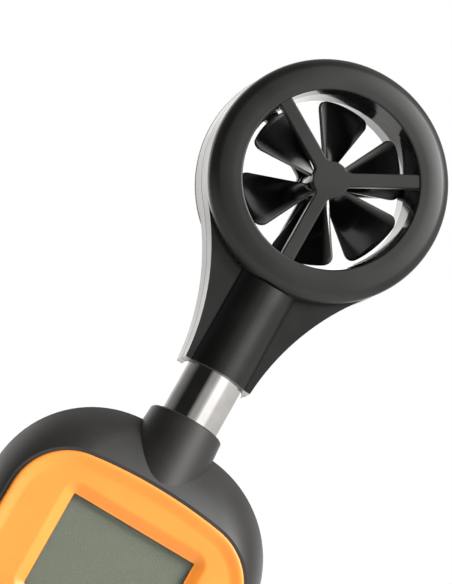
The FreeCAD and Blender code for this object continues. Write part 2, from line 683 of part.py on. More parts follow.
def display_stack():
    glass_front = f"{PLATE_SEAT} + lens_thick + 0.08"
    glass_back = f"{glass_front} + glass_thick"
    wide, low, high = "display_half_width + glass_border", f"{DISPLAY_BOTTOM} - glass_border", \
        f"{DISPLAY_TOP} + glass_border"
    keep(block("lcd_lens", f"-({wide})", wide, f"{PLATE_SEAT} + fit_gap", f"{PLATE_SEAT} + lens_thick + fit_gap",
               low, high))
    keep(block("lcd_glass", f"-({wide}) + 0.1", f"{wide} - 0.1", glass_front, glass_back, low, high))
    holder = new_body("lcd_holder")
    pad(holder, f"{glass_back} - 0.9", "-board_front - face_gap", lambda sketch: rectangle(
        sketch, f"-({wide}) - 1.6", f"{wide} + 1.6", f"{low} - 3.6", f"{high} + 1.2"))
    cut(holder, f"{glass_back} - 2", glass_back, lambda sketch: rectangle(
        sketch, f"-({wide}) - 0.12", f"{wide} + 0.12", f"{low} - 0.12", f"{high} + 0.12"))
    cut(holder, f"{glass_back} - 2", "-board_front", lambda sketch: rectangle(
        sketch, f"-({wide}) + 2", f"{wide} - 2", f"{low} + 3.2", f"{high} - 2"))
    cut(holder, f"{glass_back} - 2", "-board_front", lambda sketch: rectangle(
        sketch, f"-({wide}) + 1", f"{wide} - 1", f"{low} + 0.15", f"{low} + 2.35"))
    keep(holder)
    keep(block("zebra_strip", f"-({wide}) + 1.1", f"{wide} - 1.1", f"{glass_back} + fit_gap",
               "-board_front - face_gap", f"{low} + 0.25", f"{low} + 2.25"))


def main_board():
    body = new_body("main_board")
    pad(body, "-board_front", "-board_front + board_thick", lambda sketch: rectangle(
        sketch, "-board_half_width", "board_half_width", "board_bottom", "board_top"))
    cut(body, "-board_front - 1", "-board_front + board_thick + 1", lambda sketch: [
        circle(sketch, across, up, "board_screw_radius + 0.25") for across, up in BOARD_SCREWS])
    keep(body)
    back = "-board_front + board_thick"
    screws = []
    for index, (across, up) in enumerate(BOARD_SCREWS):
        shank = rod(f"board_screw_shank_{index}", "board_screw_radius", "-board_front - 2.2", f"{back} + face_gap",
                    across, up)
        head = rod(f"board_screw_head_{index}", "board_screw_head", f"{back} + face_gap", f"{back} + 1.4", across, up)
        screws.extend([shank, head])
    keep(joined("board_screws", screws))
    keep(block("board_chip", "-19", "-9", f"{back} + face_gap", f"{back} + 1.5", "76", "86"))
    keep(rod("buzzer", "5.5", f"{back} + face_gap", f"{back} + 3", "17", "76"))
    keep(block("cable_plug", "-4.2", "4.2", f"{back} + face_gap", "2.6", "86", "92"))
    keep(post("sensor_cable", "1.3", "92.02", "mouth_height + tube_showing + tube_in_neck + 2.2", "0", "0"))
    mat = new_body("keypad_mat")
    pad(mat, "-board_front - 0.62", "-board_front - face_gap", lambda sketch: rectangle(
        sketch, "-board_half_width + 1", "board_half_width - 1", "key_row_lower - 7.5", "key_row_upper + 7.5"))

    def domes(sketch):
        for _, across, up in KEYS:
            circle(sketch, across, up, "3")
    pad(mat, f"{FRONT_INNER} + key_travel + 1.15", "-board_front - 0.62", domes)
    keep(mat)


def battery_parts():
    middle = "0.4 + cell_radius + 0.15"
    low, high = "cell_bottom", "cell_bottom + cell_length"
    floor, ceiling = "bay_bottom + 0.6", "bay_top - 0.6"
    cells, springs, contacts = [], [], []
    for index, (column, upright) in enumerate((("-cell_pitch", True), ("0", False), ("cell_pitch", True))):
        can = (low, f"{high} - cell_tip_length") if upright else (f"{low} + cell_tip_length", high)
        tip = (f"{high} - cell_tip_length", high) if upright else (low, f"{low} + cell_tip_length")
        cells.append(post(f"cell_can_{index}", "cell_radius", *can, column, middle))
        cells.append(post(f"cell_tip_{index}", "cell_tip_radius", *tip, column, middle))
        coil = (floor, low) if upright else (high, ceiling)
        springs.append(battery_spring(index, column, middle, coil, upright))
        nub = (f"{high} + face_gap", f"{ceiling} + 0.1") if upright else (f"{floor} - 0.1", f"{low} - face_gap")
        contacts.append(post(f"contact_nub_{index}", "1.6", *nub, column, middle))
        for name, under, over in (("low", "bay_bottom + 0.05", "bay_bottom + 0.55"),
                                  ("high", "bay_top - 0.55", "bay_top - 0.05")):
            contacts.append(block(f"contact_{name}_{index}", f"{column} - contact_half", f"{column} + contact_half",
                                  f"{middle} - contact_half", f"{middle} + contact_half", under, over))
    keep(joined("battery_cells", cells))
    keep(joined("battery_springs", springs))
    keep(joined("battery_contacts", contacts))


def battery_spring(index, column, middle, reach, upright):
    """Coil spring at a cell's flat end, drawn as its envelope: a thin-walled cone."""
    low, high = reach
    wide, narrow = ("3.2", "2.2") if upright else ("2.2", "3.2")
    outer = doc.addObject("Part::Cone", f"spring_outer_{index}")
    inner = doc.addObject("Part::Cone", f"spring_inner_{index}")
    for cone, less in ((outer, "0"), (inner, "0.6")):
        cone.setExpression("Radius1", bound(f"{wide} - {less}"))
        cone.setExpression("Radius2", bound(f"{narrow} - {less}"))
        cone.setExpression("Height", bound(f"({high}) - ({low}) - 0.04"))
        cone.setExpression("Placement.Base.x", bound(column))
        cone.setExpression("Placement.Base.y", bound(middle))
        cone.setExpression("Placement.Base.z", bound(f"({low}) + face_gap"))
    spring = doc.addObject("Part::Cut", f"spring_{index}")
    spring.Base = outer
    spring.Tool = inner
    return spring


def battery_door():
    body = new_body("battery_door")
    left, right = "-bay_half_width - door_border + door_gap", "bay_half_width + door_border - door_gap"
    low, high = "bay_bottom - door_border + door_gap", "bay_top + door_border + 5 - door_gap"
    pad(body, DOOR_INNER + " + face_gap", BACK + " - 0.05", lambda sketch: rectangle(sketch, left, right, low, high))
    back = number(BACK + " - 0.05")
    soften(body, "0.4", lambda edge: lies_at(edge, depth=back))
    cut(body, DOOR_INNER, BACK + " + 1",
        lambda sketch: circle(sketch, "0", DOOR_SCREW_AT, "door_screw_radius + 0.4"))
    cut(body, f"{BACK} - 0.85", BACK + " + 1",
        lambda sketch: circle(sketch, "0", DOOR_SCREW_AT, "door_screw_head + 0.2"))
    keep(body)
    shank = rod("door_screw_shank", "door_screw_radius", f"{DOOR_INNER} - 3.4", f"{BACK} - 0.83", "0",
                DOOR_SCREW_AT)
    head = rod("door_screw_head", "door_screw_head", f"{BACK} - 0.83", f"{BACK} - 0.05", "0", DOOR_SCREW_AT)
    keep(joined("door_screw", [shank, head]))


def tripod_insert():
    body = new_body("tripod_insert")
    sketch = sketch_on(body, "YZ_Plane")
    polygon(sketch, [(f"{BACK} - tripod_length", "tripod_bore"), (BACK + " - 0.1", "tripod_bore"),
                     (BACK + " - 0.1", "tripod_outer"), (f"{BACK} - tripod_length", "tripod_outer")])
    feature = body.newObject("PartDesign::Revolution", "tripod_insert_turned")
    feature.Profile = sketch
    feature.ReferenceAxis = (sketch, ["H_Axis"])
    feature.Angle = 360
    body.setExpression("Placement.Base.z", bound("tripod_height"))
    doc.recompute()
    return keep(body)


def case_screws():
    pieces = []
    for name, across, up in CASE_SCREWS:
        seat = "0.45 * case_rear_depth"
        shank = rod(f"case_screw_shank_{name}", "screw_radius", f"{FRONT_INNER} + 1.6", f"{seat} + face_gap", across, up)
        head = rod(f"case_screw_head_{name}", "screw_head_radius", f"{seat} + face_gap", f"{seat} + 2", across, up)
        pieces.extend([shank, head])
    keep(joined("case_screws", pieces))


# ================================================================ swivel
def swivel_tube():
    body = new_body("swivel_tube")
    low, high = "mouth_height - tube_in_body", "mouth_height + tube_showing + tube_in_neck"
    inner = "tube_radius - tube_wall"
    turned(body, "XZ_Plane", "V_Axis", [(inner, low), ("tube_radius", low), ("tube_radius", high), (inner, high)])
    return keep(body)


def stop_collar():
    """Ring on the foot of the tube. Its lug hangs below and meets the rib in the front case."""
    body = new_body("stop_collar")
    low, high = "mouth_height - tube_in_body", "mouth_height - tube_in_body + stop_length"
    turned(body, "XZ_Plane", "V_Axis", [
        ("tube_radius + fit_gap", low), ("stop_outer", low), ("stop_outer", high), ("tube_radius + fit_gap", high)])
    sketch = sketch_on(body, "XY_Plane", f"{low} - lug_drop", "lug_angle")
    rectangle(sketch, "tube_radius - tube_wall - 1.2", "stop_outer - 0.3", "-lug_width / 2", "lug_width / 2")
    lug = body.newObject("PartDesign::Pad", "stop_collar_lug")
    lug.Profile = sketch
    lug.setExpression("Length", bound("lug_drop - fit_gap"))
    doc.recompute()
    sketch = sketch_on(body, "XY_Plane", f"{low} - face_gap", "lug_angle")
    rectangle(sketch, "tube_radius + 0.03", "stop_outer - 0.3", "-lug_width / 2", "lug_width / 2")
    root = body.newObject("PartDesign::Pad", "stop_collar_lug_root")
    root.Profile = sketch
    root.Length = 0.5
    doc.recompute()
    return keep(body)


# ================================================================ head
NECK_FOOT = "mouth_height + tube_showing - (mouth_height + duct_rise)"
HEAD_SCREW_ANGLES = ("62", "-62", "128", "-128")
WALL_MIDDLE = "(duct_radius + head_radius) / 2"


def guard(name, side):
    """Bezel ring, three spokes and hub. side is -1 at the front and 1 at the back."""
    body = new_body(name)
    face, seat = f"{side} * head_half_depth", f"{side} * (head_half_depth - bezel_depth)"
    turned(body, "YZ_Plane", "H_Axis", [
        (face, "lip_radius"), (face, "head_radius"), (seat, "head_radius"), (seat, "lip_radius")])
    depth = number(face)
    soften(body, "bullnose", lambda edge: lies_at(edge, depth=depth, radius=number("head_radius")))
    soften(body, "lip_round", lambda edge: lies_at(edge, depth=depth, radius=number("lip_radius")))
    outer = f"{side} * (head_half_depth - guard_sunk)"
    inner = f"{side} * (head_half_depth - guard_sunk - spoke_depth)"
    hub_inner = f"{side} * (head_half_depth - guard_sunk - guard_hub_depth)"
    front, back = (outer, inner) if side < 0 else (inner, outer)
    for turn in ("180", "60", "-60"):
        sketch = sketch_on(body, "XZ_Plane", f"-({back})", turn)
        rectangle(sketch, "-spoke_width / 2", "spoke_width / 2", "guard_hub_radius / 2", "lip_radius + 0.6")
        spoke = body.newObject("PartDesign::Pad", f"{name}_spoke")
        spoke.Profile = sketch
        spoke.setExpression("Length", bound(f"({back}) - ({front})"))
        doc.recompute()
    front, back = (outer, hub_inner) if side < 0 else (hub_inner, outer)
    pad(body, front, back, lambda sketch: circle(sketch, "0", "0", "guard_hub_radius"))
    # blind pocket for the bearing
    deep = f"{side} * (head_half_depth - guard_sunk - guard_hub_depth + bearing_length)"
    front, back = (deep, hub_inner) if side < 0 else (hub_inner, deep)
    cut(body, front, back, lambda sketch: circle(sketch, "0", "0", "bearing_radius + fit_gap"))
    raise_to_duct(body)
    return keep(body)


def bearing(name, side):
    body = new_body(name)
    inner = f"{side} * (head_half_depth - guard_sunk - guard_hub_depth)"
    outer = f"{side} * (head_half_depth - guard_sunk - guard_hub_depth + bearing_length - face_gap)"
    turned(body, "YZ_Plane", "H_Axis", [(inner, "shaft_radius + shaft_gap"), (outer, "shaft_radius + shaft_gap"),
                                        (outer, "bearing_radius"), (inner, "bearing_radius")])
    raise_to_duct(body)
    return keep(body)


def head_shell(name, side):
    """Half of the duct barrel and of the neck, split at the mid plane and hollow inside."""
    body = new_body(name)
    seat = f"{side} * (head_half_depth - bezel_depth - face_gap)"
    bore = "(duct_radius + duct_step)" if side < 0 else "duct_radius"
    front, back = (seat, "0") if side < 0 else ("0", seat)
    turned(body, "YZ_Plane", "H_Axis", [
        (seat, bore), (seat, "head_radius - 0.05"), ("0", "head_radius - 0.05"), ("0", bore)])
    # side webs, drawn in to a hollow curve on each side
    web_front, web_back = ("-web_half_depth", "0") if side < 0 else ("0", "web_half_depth")
    pad(body, web_front, web_back, web_outline)
    # half-round middle, which holds the tube
    sketch = sketch_on(body, "XY_Plane", NECK_FOOT)
    half_round(sketch, side, "neck_radius")
    boss = body.newObject("PartDesign::Pad", f"{name}_boss")
    boss.Profile = sketch
    boss.setExpression("Length", bound(f"-({NECK_FOOT}) - duct_radius - 1"))
    doc.recompute()
    grooved(body, "YZ_Plane", "H_Axis", [
        ("-head_half_depth", "0"), ("head_half_depth", "0"), ("head_half_depth", bore),
        ("-head_half_depth", bore)])
    # the boss stops at the bezel's seat
    beyond = f"{side} * (head_half_depth + 1)"
    grooved(body, "YZ_Plane", "H_Axis", [
        (seat, "0"), (seat, "head_radius + fit_gap"), (beyond, "head_radius + fit_gap"), (beyond, "0")])
    # hollow of the barrel, open at the mid plane
    roof = f"{side} * (head_half_depth - bezel_depth - head_wall)"
    grooved(body, "YZ_Plane", "H_Axis", [
        (roof, f"{bore} + head_wall"), (roof, "head_radius - head_wall"),
        ("0", "head_radius - head_wall"), ("0", f"{bore} + head_wall")])
    # screw posts across the hollow
    front, back = (roof, "0") if side < 0 else ("0", roof)
    for angle in HEAD_SCREW_ANGLES:
        sketch = sketch_on(body, "XZ_Plane", f"-({back})", angle)
        circle(sketch, "0", WALL_MIDDLE, "(head_radius - duct_radius) / 2 - head_wall + 0.3")
        piece = body.newObject("PartDesign::Pad", f"{name}_post")
        piece.Profile = sketch
        piece.setExpression("Length", bound(f"({back}) - ({front})"))
        doc.recompute()
    for angle in HEAD_SCREW_ANGLES:
        start, stop = ("-head_screw_grip - 0.3", "0") if side < 0 else ("-0.5", f"{seat} + 1")
        sketch = sketch_on(body, "XZ_Plane", f"-({start})", angle)
        circle(sketch, "0", WALL_MIDDLE, "head_screw_radius + 0.03" if side < 0 else "head_screw_radius + 0.13")
        piece = body.newObject("PartDesign::Pocket", f"{name}_pilot")
        piece.Profile = sketch
        piece.setExpression("Length", bound(f"({stop}) - ({start})"))
        doc.recompute()
        if side > 0:
            sketch = sketch_on(body, "XZ_Plane", "-head_screw_seat", angle)
            circle(sketch, "0", WALL_MIDDLE, "head_screw_head + 0.2")
            piece = body.newObject("PartDesign::Pocket", f"{name}_head_room")
            piece.Profile = sketch
            piece.setExpression("Length", bound(f"{seat} + 1 - head_screw_seat"))
            doc.recompute()
    # bore for the tube, then the room for the pickup board above it
    grooved(body, "XZ_Plane", "V_Axis", [
        ("0", f"{NECK_FOOT} - 1"), ("tube_radius + fit_gap", f"{NECK_FOOT} - 1"),
        ("tube_radius + fit_gap", f"{NECK_FOOT} + tube_in_neck + 0.05"), ("0", f"{NECK_FOOT} + tube_in_neck + 0.05")])
    grooved(body, "XZ_Plane", "V_Axis", [
        ("0", f"{NECK_FOOT} + tube_in_neck"), ("pickup_room", f"{NECK_FOOT} + tube_in_neck"),
        ("pickup_room", "-duct_radius - head_wall - 2.6"), ("0", "-duct_radius - head_wall - 2.6")])
    raise_to_duct(body)
    return keep(body)


def web_outline(sketch):
    """Neck seen from the front: narrow foot, sides that sweep out to the ring."""
    foot, low = number("web_foot_half_width"), number(NECK_FOOT)
    radius, ring = number("web_curve"), number("head_radius - 0.05")
    # the curve starts at the foot and meets the ring as a tangent
    reach = radius + ring
    middle = tangent_middle(foot, low, radius, reach)
    touch = middle * (ring / reach)
    inner = touch * 0.8

    def mirrored(place):
        return Vector(-place.x, place.y, 0)

    start = Vector(foot, low, 0)
    first = math.atan2(touch.y - middle.y, touch.x - middle.x) % (2 * math.pi)
    last = math.atan2(low - middle.y, foot - middle.x) % (2 * math.pi)
    other_first = math.pi - last
    other_last = math.pi - first
    normal = Vector(0, 0, 1)
    sketch.addGeometry([
        Part.LineSegment(mirrored(start), start),
        Part.ArcOfCircle(Part.Circle(middle, normal, radius), first, last),
        Part.LineSegment(touch, inner),
        Part.LineSegment(inner, mirrored(inner)),
        Part.LineSegment(mirrored(inner), mirrored(touch)),
        Part.ArcOfCircle(Part.Circle(mirrored(middle), normal, radius), other_first, other_last),
    ])
    for one, end, two, start_of in ((0, 2, 1, 2), (1, 1, 2, 1), (2, 2, 3, 1), (3, 2, 4, 1), (4, 2, 5, 2), (5, 1, 0, 1)):
        sketch.addConstraint(Sketcher.Constraint("Coincident", one, end, two, start_of))
    pin(sketch, 0, 1, "-web_foot_half_width", NECK_FOOT)
    pin(sketch, 0, 2, "web_foot_half_width", NECK_FOOT)
    for index in (1, 5):
        hold(sketch, "Radius", "web_curve", index)
    ring_circle = sketch.addGeometry(Part.Circle(Vector(), normal, ring), True)
    sketch.addConstraint(Sketcher.Constraint("Coincident", ring_circle, 3, -1, 1))
    hold(sketch, "Radius", "head_radius - 0.05", ring_circle)
    for arc, end, line in ((1, 1, 2), (5, 2, 4)):
        sketch.addConstraint(Sketcher.Constraint("Tangent", arc, end, ring_circle))
        sketch.addConstraint(Sketcher.Constraint("PointOnObject", -1, 1, line))
        hold(sketch, "Distance", "0.2 * (head_radius - 0.05)", line)


def tangent_middle(foot, low, radius, reach):
    """Middle of the circle through the neck's foot corner that touches the ring from outside."""
    corner = Vector(foot, low, 0)
    away = corner.Length
    along = (reach ** 2 - radius ** 2 + away ** 2) / (2 * away)
    aside = math.sqrt(reach ** 2 - along ** 2)
    direction = corner * (1 / away)
    return direction * along + Vector(-direction.y, direction.x, 0) * aside


def half_round(sketch, side, radius):
    """Half circle on one side of the mid plane, seen from above."""
    size = number(radius)
    start, end = (math.pi, 2 * math.pi) if side < 0 else (0, math.pi)
    arc = Part.ArcOfCircle(Part.Circle(Vector(), Vector(0, 0, 1), size), start, end)
    sketch.addGeometry([arc, Part.LineSegment(arc.EndPoint, arc.StartPoint)])
    sketch.addConstraint(Sketcher.Constraint("Coincident", 0, 2, 1, 1))
    sketch.addConstraint(Sketcher.Constraint("Coincident", 1, 2, 0, 1))
    sketch.addConstraint(Sketcher.Constraint("Coincident", 0, 3, -1, 1))
    sketch.addConstraint(Sketcher.Constraint("PointOnObject", 0, 1, -1))
    hold(sketch, "Radius", radius, 0)


def head_screws():
    pieces = []
    for index, angle in enumerate(HEAD_SCREW_ANGLES):
        shank = rod(f"head_screw_shank_{index}", "head_screw_radius", "-head_screw_grip",
                    "head_screw_seat + 0.05", "0", "0")
        head = rod(f"head_screw_head_{index}", "head_screw_head", "head_screw_seat + 0.05",
                   "head_screw_seat + 1.6", "0", "0")
        for piece in (shank, head):
            piece.setExpression("Placement.Base.x", bound(f"-{WALL_MIDDLE} * sin({angle} deg)"))
            piece.setExpression("Placement.Base.z", bound(f"mouth_height + duct_rise + {WALL_MIDDLE} * cos({angle} deg)"))
        pieces.extend([shank, head])
    keep(joined("head_screws", pieces))


def pickup():
    """Small board with the sensor, upright in the neck between tube and duct."""
    foot = "mouth_height + tube_showing + tube_in_neck"
    top = "mouth_height + duct_rise - duct_radius - head_wall - 2.8"
    keep(block("pickup_board", "-4.4", "4.4", "-0.4", "0.4", f"{foot} + 2.4", top))
    keep(block("hall_pickup", "-2", "2", "-1.5", "-0.42", f"{top} - 3.4", f"{top} - 0.2"))


# ================================================================ impeller
def impeller():
    body = new_body("impeller")
    ends = "rotor_hub_half_length"
    turned(body, "YZ_Plane", "H_Axis", [
        (f"-{ends}", "shaft_radius + fit_gap"), (f"-{ends}", "rotor_hub_radius - 0.8"),
        (f"-{ends} + 0.8", "rotor_hub_radius"), (f"{ends} - 2.4", "rotor_hub_radius"),
        (f"{ends} - 2.4", "rotor_hub_radius - 1.6"), (ends, "rotor_hub_radius - 1.6"),
        (ends, "shaft_radius + fit_gap")])
    # a blade is a short stretch of a steep screw thread
    sketch = sketch_on(body, "YZ_Plane")
    rectangle(sketch, "-blade_front", "-blade_front + blade_thick", "blade_root", "blade_tip")
    blade = body.newObject("PartDesign::AdditiveHelix", "impeller_blade")
    blade.Profile = sketch
    blade.ReferenceAxis = (sketch, ["H_Axis"])
    blade.Mode = 0
    blade.setExpression("Height", bound("blade_front + blade_back - blade_thick"))
    blade.setExpression("Pitch", bound("(blade_front + blade_back - blade_thick) * 360 / blade_twist"))
    doc.recompute()
    spread = body.newObject("PartDesign::PolarPattern", "impeller_blades")
    spread.Originals = [blade]
    spread.Axis = ([f for f in body.Origin.OriginFeatures if f.Role == "Y_Axis"][0], [""])
    spread.Angle = 360
    spread.setExpression("Occurrences", bound("blade_count"))
    body.Tip = spread
    doc.recompute()
    # the tips' corners are cut off, front and back
    nick = "0.293 * blade_round"
    for end, edge in ((-1, "-blade_front"), (1, "blade_back")):
        grooved(body, "YZ_Plane", "H_Axis", [
            (f"{edge} + {end}", "blade_tip - blade_round"), (edge, "blade_tip - blade_round"),
            (f"{edge} - {end} * {nick}", f"blade_tip - {nick}"), (f"{edge} - {end} * blade_round", "blade_tip"),
            (f"{edge} - {end} * blade_round", "blade_tip + 1"), (f"{edge} + {end}", "blade_tip + 1")])
    body.Placement = Placement(Vector(), Rotation(Vector(0, 1, 0), 1))
    body.setExpression("Placement.Rotation.Angle", bound("(-blade_twist / 2 - blade_start) * 1 deg"))
    raise_to_duct(body)
    keep(body)
    magnet = new_body("hub_magnet")
    turned(magnet, "YZ_Plane", "H_Axis", [
        (f"{ends} - 2.38", "rotor_hub_radius - 1.59"), (f"{ends} - 0.1", "rotor_hub_radius - 1.59"),
        (f"{ends} - 0.1", "rotor_hub_radius"), (f"{ends} - 2.38", "rotor_hub_radius")])
    raise_to_duct(magnet)
    keep(magnet)
    reach = "head_half_depth - guard_sunk - guard_hub_depth + bearing_length - 0.3"
    keep(rod("impeller_shaft", "shaft_radius", f"-({reach})", reach, "0", "mouth_height + duct_rise"))


# ================================================================ build, check and write
front_case()
rear_case()
swivel_bush()
faceplate()
keys()
display_stack()
main_board()
battery_parts()
battery_door()
tripod_insert()
case_screws()
swivel_tube()
stop_collar()
guard("front_guard", -1)
guard("rear_guard", 1)
bearing("front_bearing", -1)
bearing("rear_bearing", 1)
head_shell("head_front_shell", -1)
head_shell("head_rear_shell", 1)
head_screws()
pickup()
impeller()
doc.recompute()

for item in doc.Objects:
    assert not {"Invalid", "Error"} & set(item.State), f"{item.Label}: {item.State}"
os.makedirs("parts", exist_ok=True)
for node in NODES:
    shape = node.Shape
    assert not shape.isNull() and shape.isValid(), f"{node.Label}: bad shape"
    assert shape.Volume > 0, f"{node.Label}: turned inside out"
for node in NODES:
    node.Shape.exportStep(f"parts/{node.Label}.step")
    box = node.Shape.BoundBox
    print(f"{node.Label:18s} solids {len(node.Shape.Solids)} volume {node.Shape.Volume:9.1f}"
          f"  x {box.XMin:7.2f} {box.XMax:7.2f}  y {box.YMin:7.2f} {box.YMax:7.2f}"
          f"  z {box.ZMin:7.2f} {box.ZMax:7.2f}")
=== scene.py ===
import json
import math

import bmesh
import bpy
from mathutils import Matrix, Vector


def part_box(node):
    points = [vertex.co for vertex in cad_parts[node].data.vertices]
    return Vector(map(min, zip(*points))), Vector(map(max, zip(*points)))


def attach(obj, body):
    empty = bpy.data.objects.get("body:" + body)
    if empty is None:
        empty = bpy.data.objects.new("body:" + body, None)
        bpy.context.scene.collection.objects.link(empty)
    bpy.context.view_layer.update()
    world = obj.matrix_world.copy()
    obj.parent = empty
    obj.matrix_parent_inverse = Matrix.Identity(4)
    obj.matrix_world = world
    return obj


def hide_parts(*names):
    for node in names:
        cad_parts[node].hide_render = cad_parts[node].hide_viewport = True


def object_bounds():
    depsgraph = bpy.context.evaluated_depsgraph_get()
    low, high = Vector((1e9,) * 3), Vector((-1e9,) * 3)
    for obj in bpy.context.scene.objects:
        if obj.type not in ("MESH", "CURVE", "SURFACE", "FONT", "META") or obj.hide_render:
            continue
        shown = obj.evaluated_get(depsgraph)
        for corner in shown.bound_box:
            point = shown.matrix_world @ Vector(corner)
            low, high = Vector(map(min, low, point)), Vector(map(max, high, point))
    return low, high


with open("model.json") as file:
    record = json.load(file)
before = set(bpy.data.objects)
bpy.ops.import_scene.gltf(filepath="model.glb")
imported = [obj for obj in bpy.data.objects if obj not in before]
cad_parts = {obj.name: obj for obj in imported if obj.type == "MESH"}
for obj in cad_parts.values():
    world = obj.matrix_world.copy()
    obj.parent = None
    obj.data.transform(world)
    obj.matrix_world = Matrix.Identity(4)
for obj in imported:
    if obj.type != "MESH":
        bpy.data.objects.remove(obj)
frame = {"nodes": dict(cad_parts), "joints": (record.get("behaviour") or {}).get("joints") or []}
for spare in ("Cube", "Light", "Camera"):
    if spare in bpy.data.objects and spare not in frame["nodes"]:
        bpy.data.objects.remove(bpy.data.objects[spare])
cad_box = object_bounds()

# ---------------------------------------------------------------- front case and rear case
# Two halves moulded in black plastic, with half of the collar on each, screwed together from the back.
# The tool was spark-eroded, so the skin has a very fine grain and a soft satin gloss.


def node_group(name, takes, gives):
    """Empty shader node group with named sockets."""
    group = bpy.data.node_groups.new(name, "ShaderNodeTree")
    for label, kind, value in takes:
        socket = group.interface.new_socket(name=label, in_out="INPUT", socket_type=kind)
        if value is not None:
            socket.default_value = value
    for label, kind in gives:
        group.interface.new_socket(name=label, in_out="OUTPUT", socket_type=kind)
    return group, group.nodes.new("NodeGroupInput"), group.nodes.new("NodeGroupOutput")


grain_group, grain_in, grain_out = node_group(
    "moulded_grain",
    [("Vector", "NodeSocketVector", None), ("Grain", "NodeSocketFloat", 3000.0),
     ("Cloud", "NodeSocketFloat", 70.0)],
    [("Height", "NodeSocketFloat"), ("Mottle", "NodeSocketFloat")])
sparks = grain_group.nodes.new("ShaderNodeTexNoise")
sparks.inputs["Detail"].default_value = 2.0
clouds = grain_group.nodes.new("ShaderNodeTexNoise")
clouds.inputs["Detail"].default_value = 3.0
spread = grain_group.nodes.new("ShaderNodeMapRange")
spread.inputs["From Min"].default_value = 0.35
spread.inputs["From Max"].default_value = 0.65
grain_group.links.new(grain_in.outputs["Vector"], sparks.inputs["Vector"])
grain_group.links.new(grain_in.outputs["Vector"], clouds.inputs["Vector"])
grain_group.links.new(grain_in.outputs["Grain"], sparks.inputs["Scale"])
grain_group.links.new(grain_in.outputs["Cloud"], clouds.inputs["Scale"])
grain_group.links.new(clouds.outputs["Fac"], spread.inputs["Value"])
grain_group.links.new(sparks.outputs["Fac"], grain_out.inputs["Height"])
grain_group.links.new(spread.outputs["Result"], grain_out.inputs["Mottle"])


def moulded(name, deep, pale, rough, grain=3000.0, relief=0.00002, strength=0.25, sheen_gloss=0.5):
    """Moulded or painted plastic: two close tones, grain in the bump and a little change in the gloss.

    The inputs 6 and 7 of a colour mix are the two colours that it mixes.
    """
    skin = bpy.data.materials.new(name)
    skin.use_nodes = True
    nodes, links = skin.node_tree.nodes, skin.node_tree.links
    shader = nodes["Principled BSDF"]
    shader.inputs["Specular IOR Level"].default_value = sheen_gloss
    place = nodes.new("ShaderNodeTexCoord")
    grained = nodes.new("ShaderNodeGroup")
    grained.node_tree = grain_group
    grained.inputs["Grain"].default_value = grain
    tone = nodes.new("ShaderNodeMix")
    tone.data_type = "RGBA"
    tone.inputs[6].default_value = (*deep, 1)
    tone.inputs[7].default_value = (*pale, 1)
    gloss = nodes.new("ShaderNodeMapRange")
    gloss.inputs["To Min"].default_value = rough - 0.03
    gloss.inputs["To Max"].default_value = rough + 0.04
    bump = nodes.new("ShaderNodeBump")
    bump.inputs["Strength"].default_value = strength
    bump.inputs["Distance"].default_value = relief
    links.new(place.outputs["Object"], grained.inputs["Vector"])
    links.new(grained.outputs["Mottle"], tone.inputs[0])
    links.new(tone.outputs[2], shader.inputs["Base Color"])
    links.new(grained.outputs["Mottle"], gloss.inputs["Value"])
    links.new(gloss.outputs["Result"], shader.inputs["Roughness"])
    links.new(grained.outputs["Height"], bump.inputs["Height"])
    links.new(bump.outputs["Normal"], shader.inputs["Normal"])
    return skin


def dress(finish, *names):
    """Gives CAD nodes their material."""
    for name in names:
        mesh = frame["nodes"][name].data
        mesh.materials.clear()
        mesh.materials.append(finish)


case_satin = moulded("case_satin", (0.015, 0.0145, 0.013), (0.019, 0.0185, 0.017), 0.46, sheen_gloss=0.44)
dress(case_satin, "front_case", "rear_case")

# ---------------------------------------------------------------- tripod insert
# Turned brass insert pressed into a boss in the back, with the thread for a tripod screw.
# The thread shows as fine rings down the bore.


def turned_metal(name, colour, rough, ring=0.0, axis="Y", relief=0.00002):
    """Turned or plated metal: faint tool rings along one axis, and a little tarnish in clouds."""
    metal = bpy.data.materials.new(name)
    metal.use_nodes = True
    nodes, links = metal.node_tree.nodes, metal.node_tree.links
    shader = nodes["Principled BSDF"]
    shader.inputs["Metallic"].default_value = 1.0
    place = nodes.new("ShaderNodeTexCoord")
    grained = nodes.new("ShaderNodeGroup")
    grained.node_tree = grain_group
    grained.inputs["Grain"].default_value = 1200.0
    grained.inputs["Cloud"].default_value = 180.0
    tone = nodes.new("ShaderNodeMix")
    tone.data_type = "RGBA"
    tone.inputs[6].default_value = (*[part * 0.88 for part in colour], 1)
    tone.inputs[7].default_value = (*colour, 1)
    gloss = nodes.new("ShaderNodeMapRange")
    gloss.inputs["To Min"].default_value = max(rough - 0.05, 0.02)
    gloss.inputs["To Max"].default_value = rough + 0.06
    links.new(place.outputs["Object"], grained.inputs["Vector"])
    links.new(grained.outputs["Mottle"], tone.inputs[0])
    links.new(tone.outputs[2], shader.inputs["Base Color"])
    links.new(grained.outputs["Mottle"], gloss.inputs["Value"])
    links.new(gloss.outputs["Result"], shader.inputs["Roughness"])
    if ring:
        rings = nodes.new("ShaderNodeTexWave")
        rings.bands_direction = axis
        rings.inputs["Scale"].default_value = ring
        bump = nodes.new("ShaderNodeBump")
        bump.inputs["Distance"].default_value = relief
        bump.inputs["Strength"].default_value = 0.6
        links.new(place.outputs["Object"], rings.inputs["Vector"])
        links.new(rings.outputs["Fac"], bump.inputs["Height"])
        links.new(bump.outputs["Normal"], shader.inputs["Normal"])
    return metal


insert_brass = turned_metal("insert_brass", (0.72, 0.55, 0.27), 0.28, ring=250.0, relief=0.0003)
dress(insert_brass, "tripod_insert")

# ---------------------------------------------------------------- swivel bush
# Plain ring moulded in dark bearing plastic. It lines the collar between the two halves of the case,
# so that the tube turns without play.
bush_plastic = moulded("bush_plastic", (0.012, 0.012, 0.012), (0.018, 0.018, 0.018), 0.5)
dress(bush_plastic, "swivel_bush")

